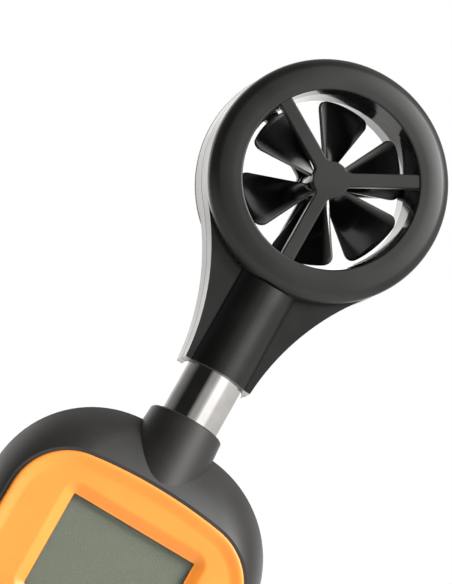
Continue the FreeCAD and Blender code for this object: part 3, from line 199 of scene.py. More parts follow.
# ---------------------------------------------------------------- faceplate
# Orange moulded plate glued into the front case. A narrow rim stands round a slightly dished face,
# with a sloping border down to the display and a well for each of the five keys.
outline_ahead, outline_weld = 0.0006, 0.00005
plate_edge_round = 0.0006
plate_dish = [  # inset, rise
    (0.00035, 0.0), (0.0004, -0.00006), (0.0006, -0.00020), (0.0007, -0.00024), (0.0006, -0.00014),
    (0.0005, -0.00005)]
display_roll = [  # inset, share of the way down to the display
    (0.0004, 0.04), (0.0004, 0.12), (0.0006, 0.22), (0.0007, 0.28), (0.0006, 0.25), (0.0003, 0.09)]
display_corner = 0.0009
display_step = 0.00015
key_names = ("key_mode", "key_units", "key_max", "key_hold", "key_power")
key_gap = 0.00025
window_half = 0.0167
lens_hidden = 0.002
well_depth, well_proud = 0.003, 0.00001
opening_less, opening_depth = 0.0002, 0.006
cutter_past = 0.002
plate_ease = 0.0005


def new_verts(grown):
    """The vertices that an extrusion made."""
    return [part for part in grown["geom"] if isinstance(part, bmesh.types.BMVert)]


def place_piece(name, shape, body, finish, nodes=(), sharp=35.0):
    """Makes a finished bmesh a piece that rides on a body and stands for the named CAD nodes."""
    bmesh.ops.recalc_face_normals(shape, faces=shape.faces)
    mesh = bpy.data.meshes.new(name)
    shape.to_mesh(mesh)
    shape.free()
    mesh.shade_smooth()
    mesh.set_sharp_from_angle(angle=math.radians(sharp))
    mesh.materials.append(finish)
    piece = bpy.data.objects.new(name, mesh)
    bpy.context.scene.collection.objects.link(piece)
    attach(piece, body)
    if nodes:
        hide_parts(*nodes)
    return piece


def oblong(across, up, half_long, half_short, front, back, grow=0.0):
    """Round-ended block that lies along Y, as a bmesh."""
    shape = bmesh.new()
    radius = half_short + grow
    reach = half_long - half_short
    bmesh.ops.create_circle(shape, cap_ends=True, radius=radius, segments=48,
                            matrix=Matrix.Rotation(math.radians(90), 4, "X"))
    for vert in shape.verts:
        if abs(vert.co.x) > 1e-7:
            vert.co.x += math.copysign(reach, vert.co.x)
    bmesh.ops.translate(shape, verts=shape.verts, vec=(across, back, up))
    grown = bmesh.ops.extrude_face_region(shape, geom=shape.faces[:])
    bmesh.ops.translate(shape, verts=new_verts(grown), vec=(0, front - back, 0))
    bmesh.ops.recalc_face_normals(shape, faces=shape.faces)
    return shape


def carve(piece, cutters):
    """Cuts each bmesh out of the piece for good."""
    tools = []
    for cutter in cutters:
        mesh = bpy.data.meshes.new("cutter")
        cutter.to_mesh(mesh)
        cutter.free()
        tool = bpy.data.objects.new("cutter", mesh)
        bpy.context.scene.collection.objects.link(tool)
        step = piece.modifiers.new("cut", "BOOLEAN")
        step.object = tool
        step.operation = "DIFFERENCE"
        step.solver = "EXACT"
        tools.append(tool)
    bpy.context.view_layer.update()
    carved = bpy.data.meshes.new_from_object(piece.evaluated_get(bpy.context.evaluated_depsgraph_get()))
    piece.modifiers.clear()
    piece.data = carved
    for tool in tools:
        bpy.data.objects.remove(tool)


plate_low, plate_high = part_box("faceplate")
plate = bmesh.new()
plate.from_mesh(frame["nodes"]["faceplate"].data)
bmesh.ops.remove_doubles(plate, verts=plate.verts, dist=1e-6)
bmesh.ops.bisect_plane(plate, geom=plate.verts[:] + plate.edges[:] + plate.faces[:], dist=1e-7,
                       plane_co=(0, plate_high.y - outline_ahead, 0), plane_no=(0, 1, 0),
                       clear_inner=True, clear_outer=True)
rim = {min(plate.verts, key=lambda vert: vert.co.z)}
fresh = set(rim)
while fresh:
    fresh = {edge.other_vert(vert) for vert in fresh for edge in vert.link_edges} - rim
    rim |= fresh
bmesh.ops.delete(plate, geom=[vert for vert in plate.verts if vert not in rim], context="VERTS")
bmesh.ops.remove_doubles(plate, verts=plate.verts, dist=outline_weld)
bmesh.ops.contextual_create(plate, geom=plate.edges[:])
bmesh.ops.translate(plate, verts=plate.verts, vec=(0, outline_ahead, 0))
grown = bmesh.ops.extrude_face_region(plate, geom=plate.faces[:])
bmesh.ops.translate(plate, verts=new_verts(grown), vec=(0, plate_low.y - plate_high.y, 0))
bmesh.ops.recalc_face_normals(plate, faces=plate.faces)
face = min(plate.faces, key=lambda f: f.calc_center_median().y)
bmesh.ops.bevel(plate, geom=face.edges[:], offset=plate_edge_round, segments=6, profile=0.5, affect="EDGES",
                material=-1, clamp_overlap=True)
face = max((f for f in plate.faces if f.normal.y < -0.99), key=lambda f: f.calc_area())
for inward, rise in plate_dish:
    bmesh.ops.inset_region(plate, faces=[face], thickness=inward, depth=rise, use_even_offset=True)
face_level = face.calc_center_median().y

orange_paint = moulded("orange_paint", (0.82, 0.255, 0.025), (0.87, 0.275, 0.030), 0.45, grain=2200.0,
                       relief=0.000015, strength=0.2)
faceplate = place_piece("face_panel", plate, "body", orange_paint, ["faceplate"])

display_low, display_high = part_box("lcd_lens")
border_level = display_low.y
window_low, window_high = display_low.z + lens_hidden, display_high.z - lens_hidden
well = bmesh.new()
border = sum(inward for inward, _ in display_roll)
bmesh.ops.create_grid(well, x_segments=1, y_segments=1, size=1.0,
                      matrix=Matrix.Rotation(math.radians(90), 4, "X"))
bmesh.ops.scale(well, verts=well.verts,
                vec=(window_half + border, 1, (window_high - window_low) / 2 + border))
bmesh.ops.bevel(well, geom=well.verts[:], offset=display_corner + border, segments=10, profile=0.5,
                affect="VERTICES", material=-1)
bmesh.ops.translate(well, verts=well.verts, vec=(0, face_level - well_depth, (window_low + window_high) / 2))
grown = bmesh.ops.extrude_face_region(well, geom=well.faces[:])
bmesh.ops.translate(well, verts=new_verts(grown), vec=(0, well_depth + well_proud, 0))
bmesh.ops.recalc_face_normals(well, faces=well.faces)
face = max(well.faces, key=lambda f: f.calc_center_median().y)
for inward, share in display_roll:
    bmesh.ops.inset_region(well, faces=[face], thickness=inward,
                           depth=share * (border_level - display_step - face_level), use_even_offset=True)
through = bmesh.new()
bmesh.ops.create_cube(through, size=1.0)
bmesh.ops.scale(through, verts=through.verts,
                vec=(2 * window_half - opening_less, opening_depth, window_high - window_low - opening_less))
bmesh.ops.translate(through, verts=through.verts, vec=(0, border_level, (window_low + window_high) / 2))


def key_size(name):
    """Middle and half sizes of a key's cap, from its CAD node less the hidden flange."""
    low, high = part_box(name)
    flange = 0.00125
    half_long, half_short = (high.x - low.x) / 2 - flange, (high.z - low.z) / 2 - flange
    return (low.x + high.x) / 2, (low.z + high.z) / 2, half_long, half_short


carve(faceplate, [well, through] + [
    oblong(*key_size(name), plate_low.y - cutter_past, plate_high.y + cutter_past, grow=key_gap)
    for name in key_names])
ease = faceplate.modifiers.new("eased_edges", "BEVEL")
ease.width = plate_ease
ease.segments = 3
ease.limit_method = "ANGLE"
ease.angle_limit = math.radians(26)
flat = faceplate.modifiers.new("flat_faces", "WEIGHTED_NORMAL")
flat.keep_sharp = True

# ---------------------------------------------------------------- display
# Clear window over a grey-green liquid crystal glass, which sits in a white frame with a rubber strip
# of contacts along its lower edge. The display is off.


def add_grain(finish, smoothest, roughest, relief, strength=0.1):
    """Gives a material a gloss that changes a little from place to place, and a fine grain."""
    nodes, links = finish.node_tree.nodes, finish.node_tree.links
    shader = nodes["Principled BSDF"]
    place = nodes.new("ShaderNodeTexCoord")
    grained = nodes.new("ShaderNodeGroup")
    grained.node_tree = grain_group
    grained.inputs["Cloud"].default_value = 15.0
    gloss = nodes.new("ShaderNodeMapRange")
    gloss.inputs["To Min"].default_value = smoothest
    gloss.inputs["To Max"].default_value = roughest
    bump = nodes.new("ShaderNodeBump")
    bump.inputs["Strength"].default_value = strength
    bump.inputs["Distance"].default_value = relief
    links.new(place.outputs["Object"], grained.inputs["Vector"])
    links.new(grained.outputs["Mottle"], gloss.inputs["Value"])
    links.new(gloss.outputs["Result"], shader.inputs["Roughness"])
    links.new(grained.outputs["Height"], bump.inputs["Height"])
    links.new(bump.outputs["Normal"], shader.inputs["Normal"])


window_clear = bpy.data.materials.new("window_clear")
window_clear.use_nodes = True
window_shader = window_clear.node_tree.nodes["Principled BSDF"]
window_shader.inputs["Base Color"].default_value = (0.5, 0.55, 0.5, 1)
window_shader.inputs["Alpha"].default_value = 0.04
add_grain(window_clear, 0.085, 0.09, 0.000001, strength=0.02)
dress(window_clear, "lcd_lens")
display_grey = moulded("display_grey", (0.0995, 0.1100, 0.0755), (0.1000, 0.1105, 0.0760), 0.25,
                       grain=5000.0, relief=0.000001, strength=0.05)
# the glass is even, so its gloss changes far less than that of the mouldings
display_gloss = display_grey.node_tree.nodes["Map Range"]
display_gloss.inputs["To Min"].default_value = 0.29
display_gloss.inputs["To Max"].default_value = 0.30
dress(display_grey, "lcd_glass")
frame_white = moulded("frame_white", (0.70, 0.70, 0.66), (0.76, 0.76, 0.73), 0.45)
dress(frame_white, "lcd_holder", "cable_plug")
strip_rubber = turned_metal("strip_rubber", (0.5, 0.22, 0.22), 0.6, ring=900.0, axis="X", relief=0.00005)
strip_rubber.node_tree.nodes["Principled BSDF"].inputs["Metallic"].default_value = 0.0
dress(strip_rubber, "zebra_strip")

# ---------------------------------------------------------------- main board
# Glass-fibre board under green solder mask, with the controller chip, a round sounder and the plug of
# the sensor's cable on its back. Four screws hold it to the front case.
board_mask = bpy.data.materials.new("board_mask")
board_mask.use_nodes = True
board_nodes, board_links = board_mask.node_tree.nodes, board_mask.node_tree.links
board_place = board_nodes.new("ShaderNodeTexCoord")
tracks = board_nodes.new("ShaderNodeTexBrick")
tracks.inputs["Scale"].default_value = 260.0
tracks.inputs["Color1"].default_value = (0.02, 0.13, 0.045, 1)
tracks.inputs["Color2"].default_value = (0.025, 0.15, 0.055, 1)
tracks.inputs["Mortar"].default_value = (0.05, 0.24, 0.09, 1)
tracks.inputs["Mortar Size"].default_value = 0.06
upright = board_nodes.new("ShaderNodeMapping")
upright.inputs["Rotation"].default_value = (math.radians(90), 0, 0)
board_links.new(board_place.outputs["Object"], upright.inputs["Vector"])
board_links.new(upright.outputs["Vector"], tracks.inputs["Vector"])
board_links.new(tracks.outputs["Color"], board_nodes["Principled BSDF"].inputs["Base Color"])
add_grain(board_mask, 0.27, 0.34, 0.00001)
dress(board_mask, "main_board", "pickup_board")
chip_epoxy = moulded("chip_epoxy", (0.015, 0.015, 0.016), (0.022, 0.022, 0.024), 0.55)
dress(chip_epoxy, "board_chip", "buzzer", "hall_pickup")
plated_steel = turned_metal("plated_steel", (0.62, 0.62, 0.61), 0.3, ring=1500.0)
dress(plated_steel, "board_screws", "battery_contacts", "stop_collar", "impeller_shaft", "head_screws")

# ---------------------------------------------------------------- keypad
# One silicone mat with a dome under each key, and five soft dark keys that stand a little above the
# faceplate: four round-ended ones and a round one between them.
mat_silicone = moulded("mat_silicone", (0.42, 0.42, 0.40), (0.50, 0.50, 0.48), 0.55)
dress(mat_silicone, "keypad_mat")
key_edge_round = 0.0008
cap_sunk = 0.001
key_dish = [(0.0007, 0.0), (0.0006, -0.00006), (0.0008, -0.0001)]
key_rubber = moulded("key_rubber", (0.045, 0.045, 0.044), (0.055, 0.055, 0.054), 0.58, grain=4000.0)
for name in key_names:
    across, up, half_long, half_short = key_size(name)
    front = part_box(name)[0].y
    cap = oblong(across, up, half_long, half_short, front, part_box(name)[1].y - cap_sunk)
    face = min(cap.faces, key=lambda f: f.calc_center_median().y)
    bmesh.ops.bevel(cap, geom=face.edges[:], offset=key_edge_round, segments=5, profile=0.5, affect="EDGES",
                    material=-1)
    face = max((f for f in cap.faces if f.normal.y < -0.99), key=lambda f: f.calc_area())
    for inward, rise in key_dish:
        bmesh.ops.inset_region(cap, faces=[face], thickness=inward, depth=rise, use_even_offset=True)
    place_piece(f"{name}_cap", cap, name, key_rubber, [name], sharp=50.0)

# ---------------------------------------------------------------- battery bay
# Three small cells lie side by side in the back, the middle one the other way up, each between a
# sprung contact and a flat one. The wrap is dark blue with two narrow bright bands, and each end is
# bare metal.
cell_low, cell_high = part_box("battery_cells")
cell_radius, cell_length = 0.0052, 0.0440
cell_profile = [  # radius, height
    (0.0, 0.0), (0.0044, 0.0), (0.0046, 0.0003), (cell_radius, 0.0006), (cell_radius, 0.0422),
    (0.0047, 0.0427), (0.0044, 0.0428), (0.0021, 0.0428), (0.0019, 0.0431), (0.0019, 0.0437),
    (0.0016, cell_length), (0.0, cell_length)]
wrap_blue, band_bright, bare_metal = (0.02, 0.06, 0.12, 1), (0.55, 0.57, 0.60, 1), (0.6, 0.6, 0.6, 1)
coil_radius, coil_turns, coil_steps = 0.0027, 4, 20
wire = 0.0003


def draw_profile(shape, corners, closed=False):
    """Adds a profile's corners and the edges between them, ready to be spun."""
    line = [shape.verts.new(corner) for corner in corners]
    following = line[1:] + line[:1] if closed else line[1:]
    return line + [shape.edges.new(pair) for pair in zip(line, following)]


def spin_round(shape, profile, axis, steps):
    """Turns a profile right round an axis through the origin."""
    bmesh.ops.spin(shape, geom=profile, cent=(0, 0, 0), axis=axis, angle=math.tau, steps=steps,
                   use_merge=True, use_duplicate=False)


cell_wrap = bpy.data.materials.new("cell_wrap")
cell_wrap.use_nodes = True
wrap_nodes, wrap_links = cell_wrap.node_tree.nodes, cell_wrap.node_tree.links
wrap_place = wrap_nodes.new("ShaderNodeTexCoord")
wrap_split = wrap_nodes.new("ShaderNodeSeparateXYZ")
wrap_share = wrap_nodes.new("ShaderNodeMapRange")
wrap_share.inputs["From Min"].default_value = cell_low.z
wrap_share.inputs["From Max"].default_value = cell_high.z
wrap_bands = wrap_nodes.new("ShaderNodeValToRGB")
wrap_bands.color_ramp.interpolation = "CONSTANT"
for place, colour in ((0.018, wrap_blue), (0.30, band_bright), (0.33, wrap_blue), (0.67, band_bright),
                      (0.70, wrap_blue), (0.955, bare_metal)):
    wrap_bands.color_ramp.elements.new(place).color = colour
wrap_bands.color_ramp.elements[0].color = bare_metal
wrap_bands.color_ramp.elements[-1].color = bare_metal
wrap_links.new(wrap_place.outputs["Object"], wrap_split.inputs["Vector"])
wrap_links.new(wrap_split.outputs["Z"], wrap_share.inputs["Value"])
wrap_links.new(wrap_share.outputs["Result"], wrap_bands.inputs["Fac"])
wrap_links.new(wrap_bands.outputs["Color"], wrap_nodes["Principled BSDF"].inputs["Base Color"])
add_grain(cell_wrap, 0.28, 0.34, 0.000005)
wrap_nodes["Principled BSDF"].inputs["Metallic"].default_value = 0.35
cells = bmesh.new()
cell_columns = [cell_low.x + cell_radius, (cell_low.x + cell_high.x) / 2, cell_high.x - cell_radius]
cell_depth = (cell_low.y + cell_high.y) / 2
for column, upside_down in zip(cell_columns, (False, True, False)):
    can_profile = draw_profile(cells, [(radius, 0, height) for radius, height in cell_profile])
    spin_round(cells, can_profile, axis=(0, 0, 1), steps=48)
    turned_verts = [vert for vert in cells.verts if not vert.tag]
    if upside_down:
        bmesh.ops.rotate(cells, verts=turned_verts, cent=(0, 0, cell_length / 2),
                         matrix=Matrix.Rotation(math.pi, 3, "X"))
    bmesh.ops.translate(cells, verts=turned_verts, vec=(column, cell_depth, cell_low.z))
    for vert in cells.verts:
        vert.tag = True
bmesh.ops.remove_doubles(cells, verts=cells.verts, dist=1e-6)
place_piece("cells_wrapped", cells, "body", cell_wrap, ["battery_cells"], sharp=30.0)

# coiled contact springs of plated wire, 0.6 mm thick
spring_low, spring_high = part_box("battery_springs")
coils = bmesh.new()
for column, foot, length in ((cell_columns[0], spring_low.z, cell_low.z - spring_low.z),
                             (cell_columns[1], cell_high.z, spring_high.z - cell_high.z),
                             (cell_columns[2], spring_low.z, cell_low.z - spring_low.z)):
    before = set(coils.verts)
    bmesh.ops.create_circle(coils, cap_ends=True, radius=wire, segments=8,
                            matrix=Matrix.Translation((coil_radius, 0, wire))
                            @ Matrix.Rotation(math.radians(90), 4, "X"))
    ends = [v for v in coils.verts if v not in before]
    disc = [f for f in coils.faces if f.verts[0] in ends]
    bmesh.ops.spin(coils, geom=disc, cent=(0, 0, 0), axis=(0, 0, 1), angle=math.tau * coil_turns,
                   steps=coil_steps * coil_turns, use_duplicate=False,
                   dvec=(0, 0, (length - 2 * wire) / (coil_steps * coil_turns)))
    bmesh.ops.translate(coils, verts=[v for v in coils.verts if v not in before],
                        vec=(column, cell_depth, foot))
place_piece("coil_springs", coils, "body", plated_steel, ["battery_springs"], sharp=60.0)

# ---------------------------------------------------------------- battery door
# Flat lid of the same black plastic over the bay, with five grip ridges near its upper end and one
# cross-recess screw, which stays with it.
door_low, door_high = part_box("battery_door")
ridge_size, ridge_round = (0.016, 0.0009, 0.0010), 0.0003
ridge_count, ridge_start, ridge_pitch = 5, 0.046, 0.0019
ridge_proud = 0.0001
lid_recess = 0.0026
dress(case_satin, "battery_door")
ridges = bmesh.new()
for step in range(ridge_count):
    bar = bmesh.ops.create_cube(ridges, size=1.0)["verts"]
    bmesh.ops.scale(ridges, verts=bar, vec=ridge_size)
    bmesh.ops.translate(ridges, verts=bar,
                        vec=(0, door_high.y + ridge_proud, door_low.z + ridge_start + ridge_pitch * step))
outer_edges = [edge for edge in ridges.edges
               if (edge.verts[0].co.y + edge.verts[1].co.y) / 2 > door_high.y]
bmesh.ops.bevel(ridges, geom=outer_edges, offset=ridge_round, segments=3, profile=0.5, affect="EDGES",
                material=-1)
place_piece("door_ridges", ridges, "door", case_satin)


def cross_recess(across, up, back, size):
    """Cutters for a screw's cross: two bars that narrow towards the bottom of the recess."""
    narrow, depth, taper = size * 0.24, size * 0.9, 0.55
    bars = []
    for wide, tall in ((size, narrow), (narrow, size)):
        bar = bmesh.new()
        bmesh.ops.create_cube(bar, size=1.0)
        bmesh.ops.scale(bar, verts=bar.verts, vec=(wide, depth, tall))
        for vert in bar.verts:
            if vert.co.y < 0:
                vert.co.x *= taper
                vert.co.z *= taper
        bmesh.ops.translate(bar, verts=bar.verts, vec=(across, back, up))
        bars.append(bar)
    return bars


screw_low, screw_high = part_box("door_screw")
screw_across, screw_up = (screw_low.x + screw_high.x) / 2, (screw_low.z + screw_high.z) / 2
lid_screw = bmesh.new()
screw_profile = [  # radius, depth
    (0.0, screw_low.y), (0.0008, screw_low.y), (0.0010, screw_low.y + 0.0004), (0.0010, screw_high.y - 0.0008),
    (0.0022, screw_high.y - 0.0008), (0.0022, screw_high.y - 0.0003), (0.0020, screw_high.y - 0.0001),
    (0.0017, screw_high.y), (0.0, screw_high.y)]
drawn = draw_profile(lid_screw, [(radius, depth, 0) for radius, depth in screw_profile])
spin_round(lid_screw, drawn, axis=(0, 1, 0), steps=32)
bmesh.ops.remove_doubles(lid_screw, verts=lid_screw.verts, dist=1e-6)
bmesh.ops.translate(lid_screw, verts=lid_screw.verts, vec=(screw_across, 0, screw_up))
lid_screw_piece = place_piece("door_fixing", lid_screw, "door", plated_steel, ["door_screw"])
carve(lid_screw_piece, cross_recess(screw_across, screw_up, screw_high.y, lid_recess))

# ---------------------------------------------------------------- case screws
# Four plated steel screws with cross recesses, sunk in round wells in the back. They hold the two
# halves of the case together.
case_recess = 0.0032
screws_low, screws_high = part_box("case_screws")
corners = {}
for vert in frame["nodes"]["case_screws"].data.vertices:
    if vert.co.y > screws_high.y - 0.0001:
        corner = (vert.co.x > 0, vert.co.z > (screws_low.z + screws_high.z) / 2)
        corners.setdefault(corner, []).append(vert.co)
screws = bmesh.new()
screws.from_mesh(frame["nodes"]["case_screws"].data)
bmesh.ops.remove_doubles(screws, verts=screws.verts, dist=1e-6)
case_screw_piece = place_piece("case_fixings", screws, "body", plated_steel, ["case_screws"])
carve(case_screw_piece, [
    bar for found in corners.values()
    for bar in cross_recess(sum(p.x for p in found) / len(found), sum(p.z for p in found) / len(found),
                            screws_high.y, case_recess)])

# ---------------------------------------------------------------- swivel tube
# Bright chromed tube, 16 mm across, that carries the head and turns in the collar. The sensor's grey
# cable runs up the middle of it.
tube_chrome = turned_metal("tube_chrome", (0.80, 0.79, 0.78), 0.07)
dress(tube_chrome, "swivel_tube")
cable_sheath = moulded("cable_sheath", (0.18, 0.18, 0.18), (0.23, 0.23, 0.23), 0.5)
dress(cable_sheath, "sensor_cable")

# ---------------------------------------------------------------- head shells
# Front and rear halves of the duct's barrel and of the neck under it, in black plastic, smoother than
# the case. They meet at the middle of the ring's thickness.
head_satin = moulded("head_satin", (0.005, 0.005, 0.0047), (0.007, 0.007, 0.0067), 0.27, grain=2600.0)
dress(head_satin, "head_front_shell", "head_rear_shell")
seam_group, seam_in, seam_out = node_group(
    "parting_line", [("Vector", "NodeSocketVector", None), ("Depth", "NodeSocketFloat", 0.0),
                     ("Width", "NodeSocketFloat", 0.0002)], [("Mask", "NodeSocketFloat")])
seam_split = seam_group.nodes.new("ShaderNodeSeparateXYZ")
seam_away = seam_group.nodes.new("ShaderNodeMath")
seam_away.operation = "SUBTRACT"
seam_near = seam_group.nodes.new("ShaderNodeMath")
seam_near.operation = "ABSOLUTE"
seam_share = seam_group.nodes.new("ShaderNodeMath")
seam_share.operation = "DIVIDE"
seam_step = seam_group.nodes.new("ShaderNodeMapRange")
seam_step.inputs["From Min"].default_value = 0.5
seam_step.inputs["From Max"].default_value = 1.0
seam_step.inputs["To Min"].default_value = 1.0
seam_step.inputs["To Max"].default_value = 0.0
seam_group.links.new(seam_in.outputs["Vector"], seam_split.inputs["Vector"])
seam_group.links.new(seam_split.outputs["Y"], seam_away.inputs[0])
seam_group.links.new(seam_in.outputs["Depth"], seam_away.inputs[1])
seam_group.links.new(seam_away.outputs["Value"], seam_near.inputs[0])
seam_group.links.new(seam_near.outputs["Value"], seam_share.inputs[0])
seam_group.links.new(seam_in.outputs["Width"], seam_share.inputs[1])
seam_group.links.new(seam_share.outputs["Value"], seam_step.inputs["Value"])
seam_group.links.new(seam_step.outputs["Result"], seam_out.inputs["Mask"])


def add_seam(finish, width):
    """Dark, rough line where two mouldings meet at the middle plane."""
    nodes, links = finish.node_tree.nodes, finish.node_tree.links
    shader = nodes["Principled BSDF"]
    place = nodes.new("ShaderNodeTexCoord")
    seam = nodes.new("ShaderNodeGroup")
    seam.node_tree = seam_group
    seam.inputs["Width"].default_value = width
    links.new(place.outputs["Object"], seam.inputs["Vector"])
    shaded = nodes.new("ShaderNodeMix")
    shaded.data_type = "RGBA"
    shaded.inputs[7].default_value = (0.001, 0.001, 0.001, 1)
    links.new(seam.outputs["Mask"], shaded.inputs[0])
    links.new(shader.inputs["Base Color"].links[0].from_socket, shaded.inputs[6])
    links.new(shaded.outputs[2], shader.inputs["Base Color"])
    dulled = nodes.new("ShaderNodeMath")
    dulled.operation = "MAXIMUM"
    links.new(seam.outputs["Mask"], dulled.inputs[0])
    links.new(shader.inputs["Roughness"].links[0].from_socket, dulled.inputs[1])
    links.new(dulled.outputs["Value"], shader.inputs["Roughness"])


add_seam(head_satin, width=0.0002)


def polish_duct(finish, centre, radius, smooth):
    """Smoother skin on the wall of the air passage than on the outside."""
    nodes, links = finish.node_tree.nodes, finish.node_tree.links
    shader = nodes["Principled BSDF"]
    place = nodes.new("ShaderNodeTexCoord")
    flattened = nodes.new("ShaderNodeVectorMath")
    flattened.operation = "MULTIPLY"
    flattened.inputs[1].default_value = (1, 0, 1)
    reach = nodes.new("ShaderNodeVectorMath")
    reach.operation = "DISTANCE"
    reach.inputs[1].default_value = (centre.x, 0, centre.z)
    inside = nodes.new("ShaderNodeMapRange")
    inside.inputs["From Min"].default_value = radius
    inside.inputs["From Max"].default_value = radius + 0.0001
    inside.inputs["To Min"].default_value = 1.0
    inside.inputs["To Max"].default_value = 0.0
    skin = nodes.new("ShaderNodeMix")
    skin.inputs[3].default_value = smooth
    links.new(place.outputs["Object"], flattened.inputs[0])
    links.new(flattened.outputs["Vector"], reach.inputs[0])
    links.new(reach.outputs["Value"], inside.inputs["Value"])
    links.new(inside.outputs["Result"], skin.inputs[0])
    links.new(shader.inputs["Roughness"].links[0].from_socket, skin.inputs[2])
    links.new(skin.outputs[0], shader.inputs["Roughness"])


duct_middle = Vector(next(j for j in frame["joints"] if j["name"] == "impeller_spin")["pos_m"])
polish_duct(head_satin, duct_middle, radius=0.0214, smooth=0.13)

# ---------------------------------------------------------------- guards
# At each end of the duct a bezel ring with a flat face and a broad rounded edge, and in it a flat
# three-armed spider with filleted corners, whose hub holds the impeller's bearing.
guard_low, guard_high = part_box("front_guard")
ring_radius = (guard_high.x - guard_low.x) / 2
half_depth = -guard_low.y
bezel_depth = 0.0040
ring_seat = half_depth - bezel_depth
lip_radius = 0.0218
wall_margin = 0.00002
throat_radius, throat_end = 0.02115, 0.02048
funnel_lap, funnel_back = 0.00003, 0.00005
ring_steps = 160
arm_headings = (30.0, 150.0, 270.0)
arm_spread = math.radians(19)
arm_past = 0.0009
arm_edge_round = 0.00035
arm_half_width = 0.0017
arm_depth = 0.0026
arm_sunk = 0.00035
hub_radius = 0.00455
hub_fillet = 0.0012
hub_sunk, hub_reach = 0.00025, 0.0042
boss_less, boss_depth = 0.0003, 0.0022
clear_of_hub = hub_radius + 0.001
bezel_corners = [  # depth in front of the seat, distance from the axis, rounding
    (0.0, throat_radius, 0.0), (bezel_depth, lip_radius, 0.0004), (bezel_depth, ring_radius - 0.0041, 0.0018),
    (0.0032, ring_radius - 0.0011, 0.0016), (0.0012, ring_radius, 0.0009), (0.0002, ring_radius, 0.0),
    (0.0, ring_radius - 0.0002, 0.0)]
guard_satin = moulded("guard_satin", (0.009, 0.0088, 0.0083), (0.012, 0.0117, 0.011), 0.42, grain=2600.0,
                      sheen_gloss=0.40)
duct_gloss = moulded("duct_gloss", (0.005, 0.005, 0.0047), (0.007, 0.007, 0.0067), 0.14, grain=2600.0)


def arm_axes(heading):
    """Directions along and across the arm at a heading in degrees."""
    along = Vector((math.cos(math.radians(heading)), math.sin(math.radians(heading)), 0))
    return along, Vector((-along.y, along.x, 0))


def nearest_arm(point):
    """Heading of the arm that a point lies on."""
    return round((math.degrees(math.atan2(point.y, point.x)) - 30) / 120) * 120 + 30


for name, node, side in (("front_bezel", "front_guard", -1), ("rear_bezel", "rear_guard", 1)):
    bezel = bmesh.new()
    drawn = draw_profile(bezel, [(radius, ring_seat + rise, 0) for rise, radius, _ in bezel_corners],
                         closed=True)
    for vert, (_, _, rounding) in zip(drawn, bezel_corners):
        if rounding:
            bmesh.ops.bevel(bezel, geom=[vert], offset=rounding, segments=6, profile=0.5, affect="VERTICES",
                            material=-1)
    spin_round(bezel, bezel.verts[:] + bezel.edges[:], axis=(0, 1, 0), steps=ring_steps)
    bmesh.ops.remove_doubles(bezel, verts=bezel.verts, dist=1e-6)
    for face in bezel.faces:
        middle = face.calc_center_median()
        face.material_index = 1 if math.hypot(middle.x, middle.z) < lip_radius + wall_margin else 0
    spider = bmesh.new()
    bmesh.ops.create_circle(spider, cap_ends=True, radius=hub_radius, segments=36)
    for heading in arm_headings:
        along, aside = arm_axes(heading)
        foot = [edge for edge in spider.edges if edge.is_boundary
                and (edge.verts[0].co + edge.verts[1].co).normalized().dot(along) > math.cos(arm_spread)]
        grown = bmesh.ops.extrude_edge_only(spider, edges=foot)
        for vert in new_verts(grown):
            vert.co = along * (lip_radius + arm_past) + aside * vert.co.dot(aside)
    bmesh.ops.dissolve_faces(spider, faces=spider.faces[:])
    waist = [vert for vert in spider.verts if vert.co.length < hub_radius + 1e-5
             and any(edge.other_vert(vert).co.length > clear_of_hub for edge in vert.link_edges)]
    for vert in waist:
        arm_end = next(edge.other_vert(vert).co for edge in vert.link_edges
                       if edge.other_vert(vert).co.length > clear_of_hub)
        along, aside = arm_axes(nearest_arm(arm_end))
        across = math.copysign(arm_half_width, vert.co.dot(aside))
        vert.co = along * math.sqrt(hub_radius ** 2 - arm_half_width ** 2) + aside * across
    for vert in [vert for vert in spider.verts if vert.co.length > clear_of_hub]:
        along, aside = arm_axes(nearest_arm(vert.co))
        across = vert.co.dot(aside)
        if abs(across) > arm_half_width * 0.85:
            vert.co = along * vert.co.dot(along) + aside * math.copysign(arm_half_width, across)
    bmesh.ops.bevel(spider, geom=waist, offset=hub_fillet, segments=6, profile=0.5, affect="VERTICES",
                    material=-1)
    bmesh.ops.rotate(spider, verts=spider.verts, cent=(0, 0, 0),
                     matrix=Matrix.Rotation(math.radians(90), 3, "X"))
    bmesh.ops.translate(spider, verts=spider.verts, vec=(0, half_depth - arm_sunk - arm_depth, 0))
    grown = bmesh.ops.extrude_face_region(spider, geom=spider.faces[:])
    bmesh.ops.translate(spider, verts=new_verts(grown), vec=(0, arm_depth, 0))
    level_edges = [edge for edge in spider.edges if abs(edge.verts[0].co.y - edge.verts[1].co.y) < 1e-6]
    bmesh.ops.bevel(spider, geom=level_edges, offset=arm_edge_round, segments=3, profile=0.5, affect="EDGES",
                    material=-1)
    boss_front = half_depth - hub_sunk - hub_reach
    bmesh.ops.create_cone(spider, cap_ends=True, segments=48, radius1=hub_radius - boss_less,
                          radius2=hub_radius - boss_less, depth=boss_depth,
                          matrix=Matrix.Translation((0, boss_front + boss_depth / 2, 0))
                          @ Matrix.Rotation(math.radians(90), 4, "X"))
    arms = bpy.data.meshes.new("arms")
    spider.to_mesh(arms)
    spider.free()
    bezel.from_mesh(arms)
    bpy.data.meshes.remove(arms)
    if side < 0:
        bmesh.ops.scale(bezel, verts=bezel.verts, vec=(1, -1, 1))
    bmesh.ops.translate(bezel, verts=bezel.verts, vec=duct_middle)
    guard = place_piece(name, bezel, "head", guard_satin, [node], sharp=32.0)
    guard.data.materials.append(duct_gloss)
    flat = guard.modifiers.new("flat_faces", "WEIGHTED_NORMAL")
    flat.keep_sharp = True

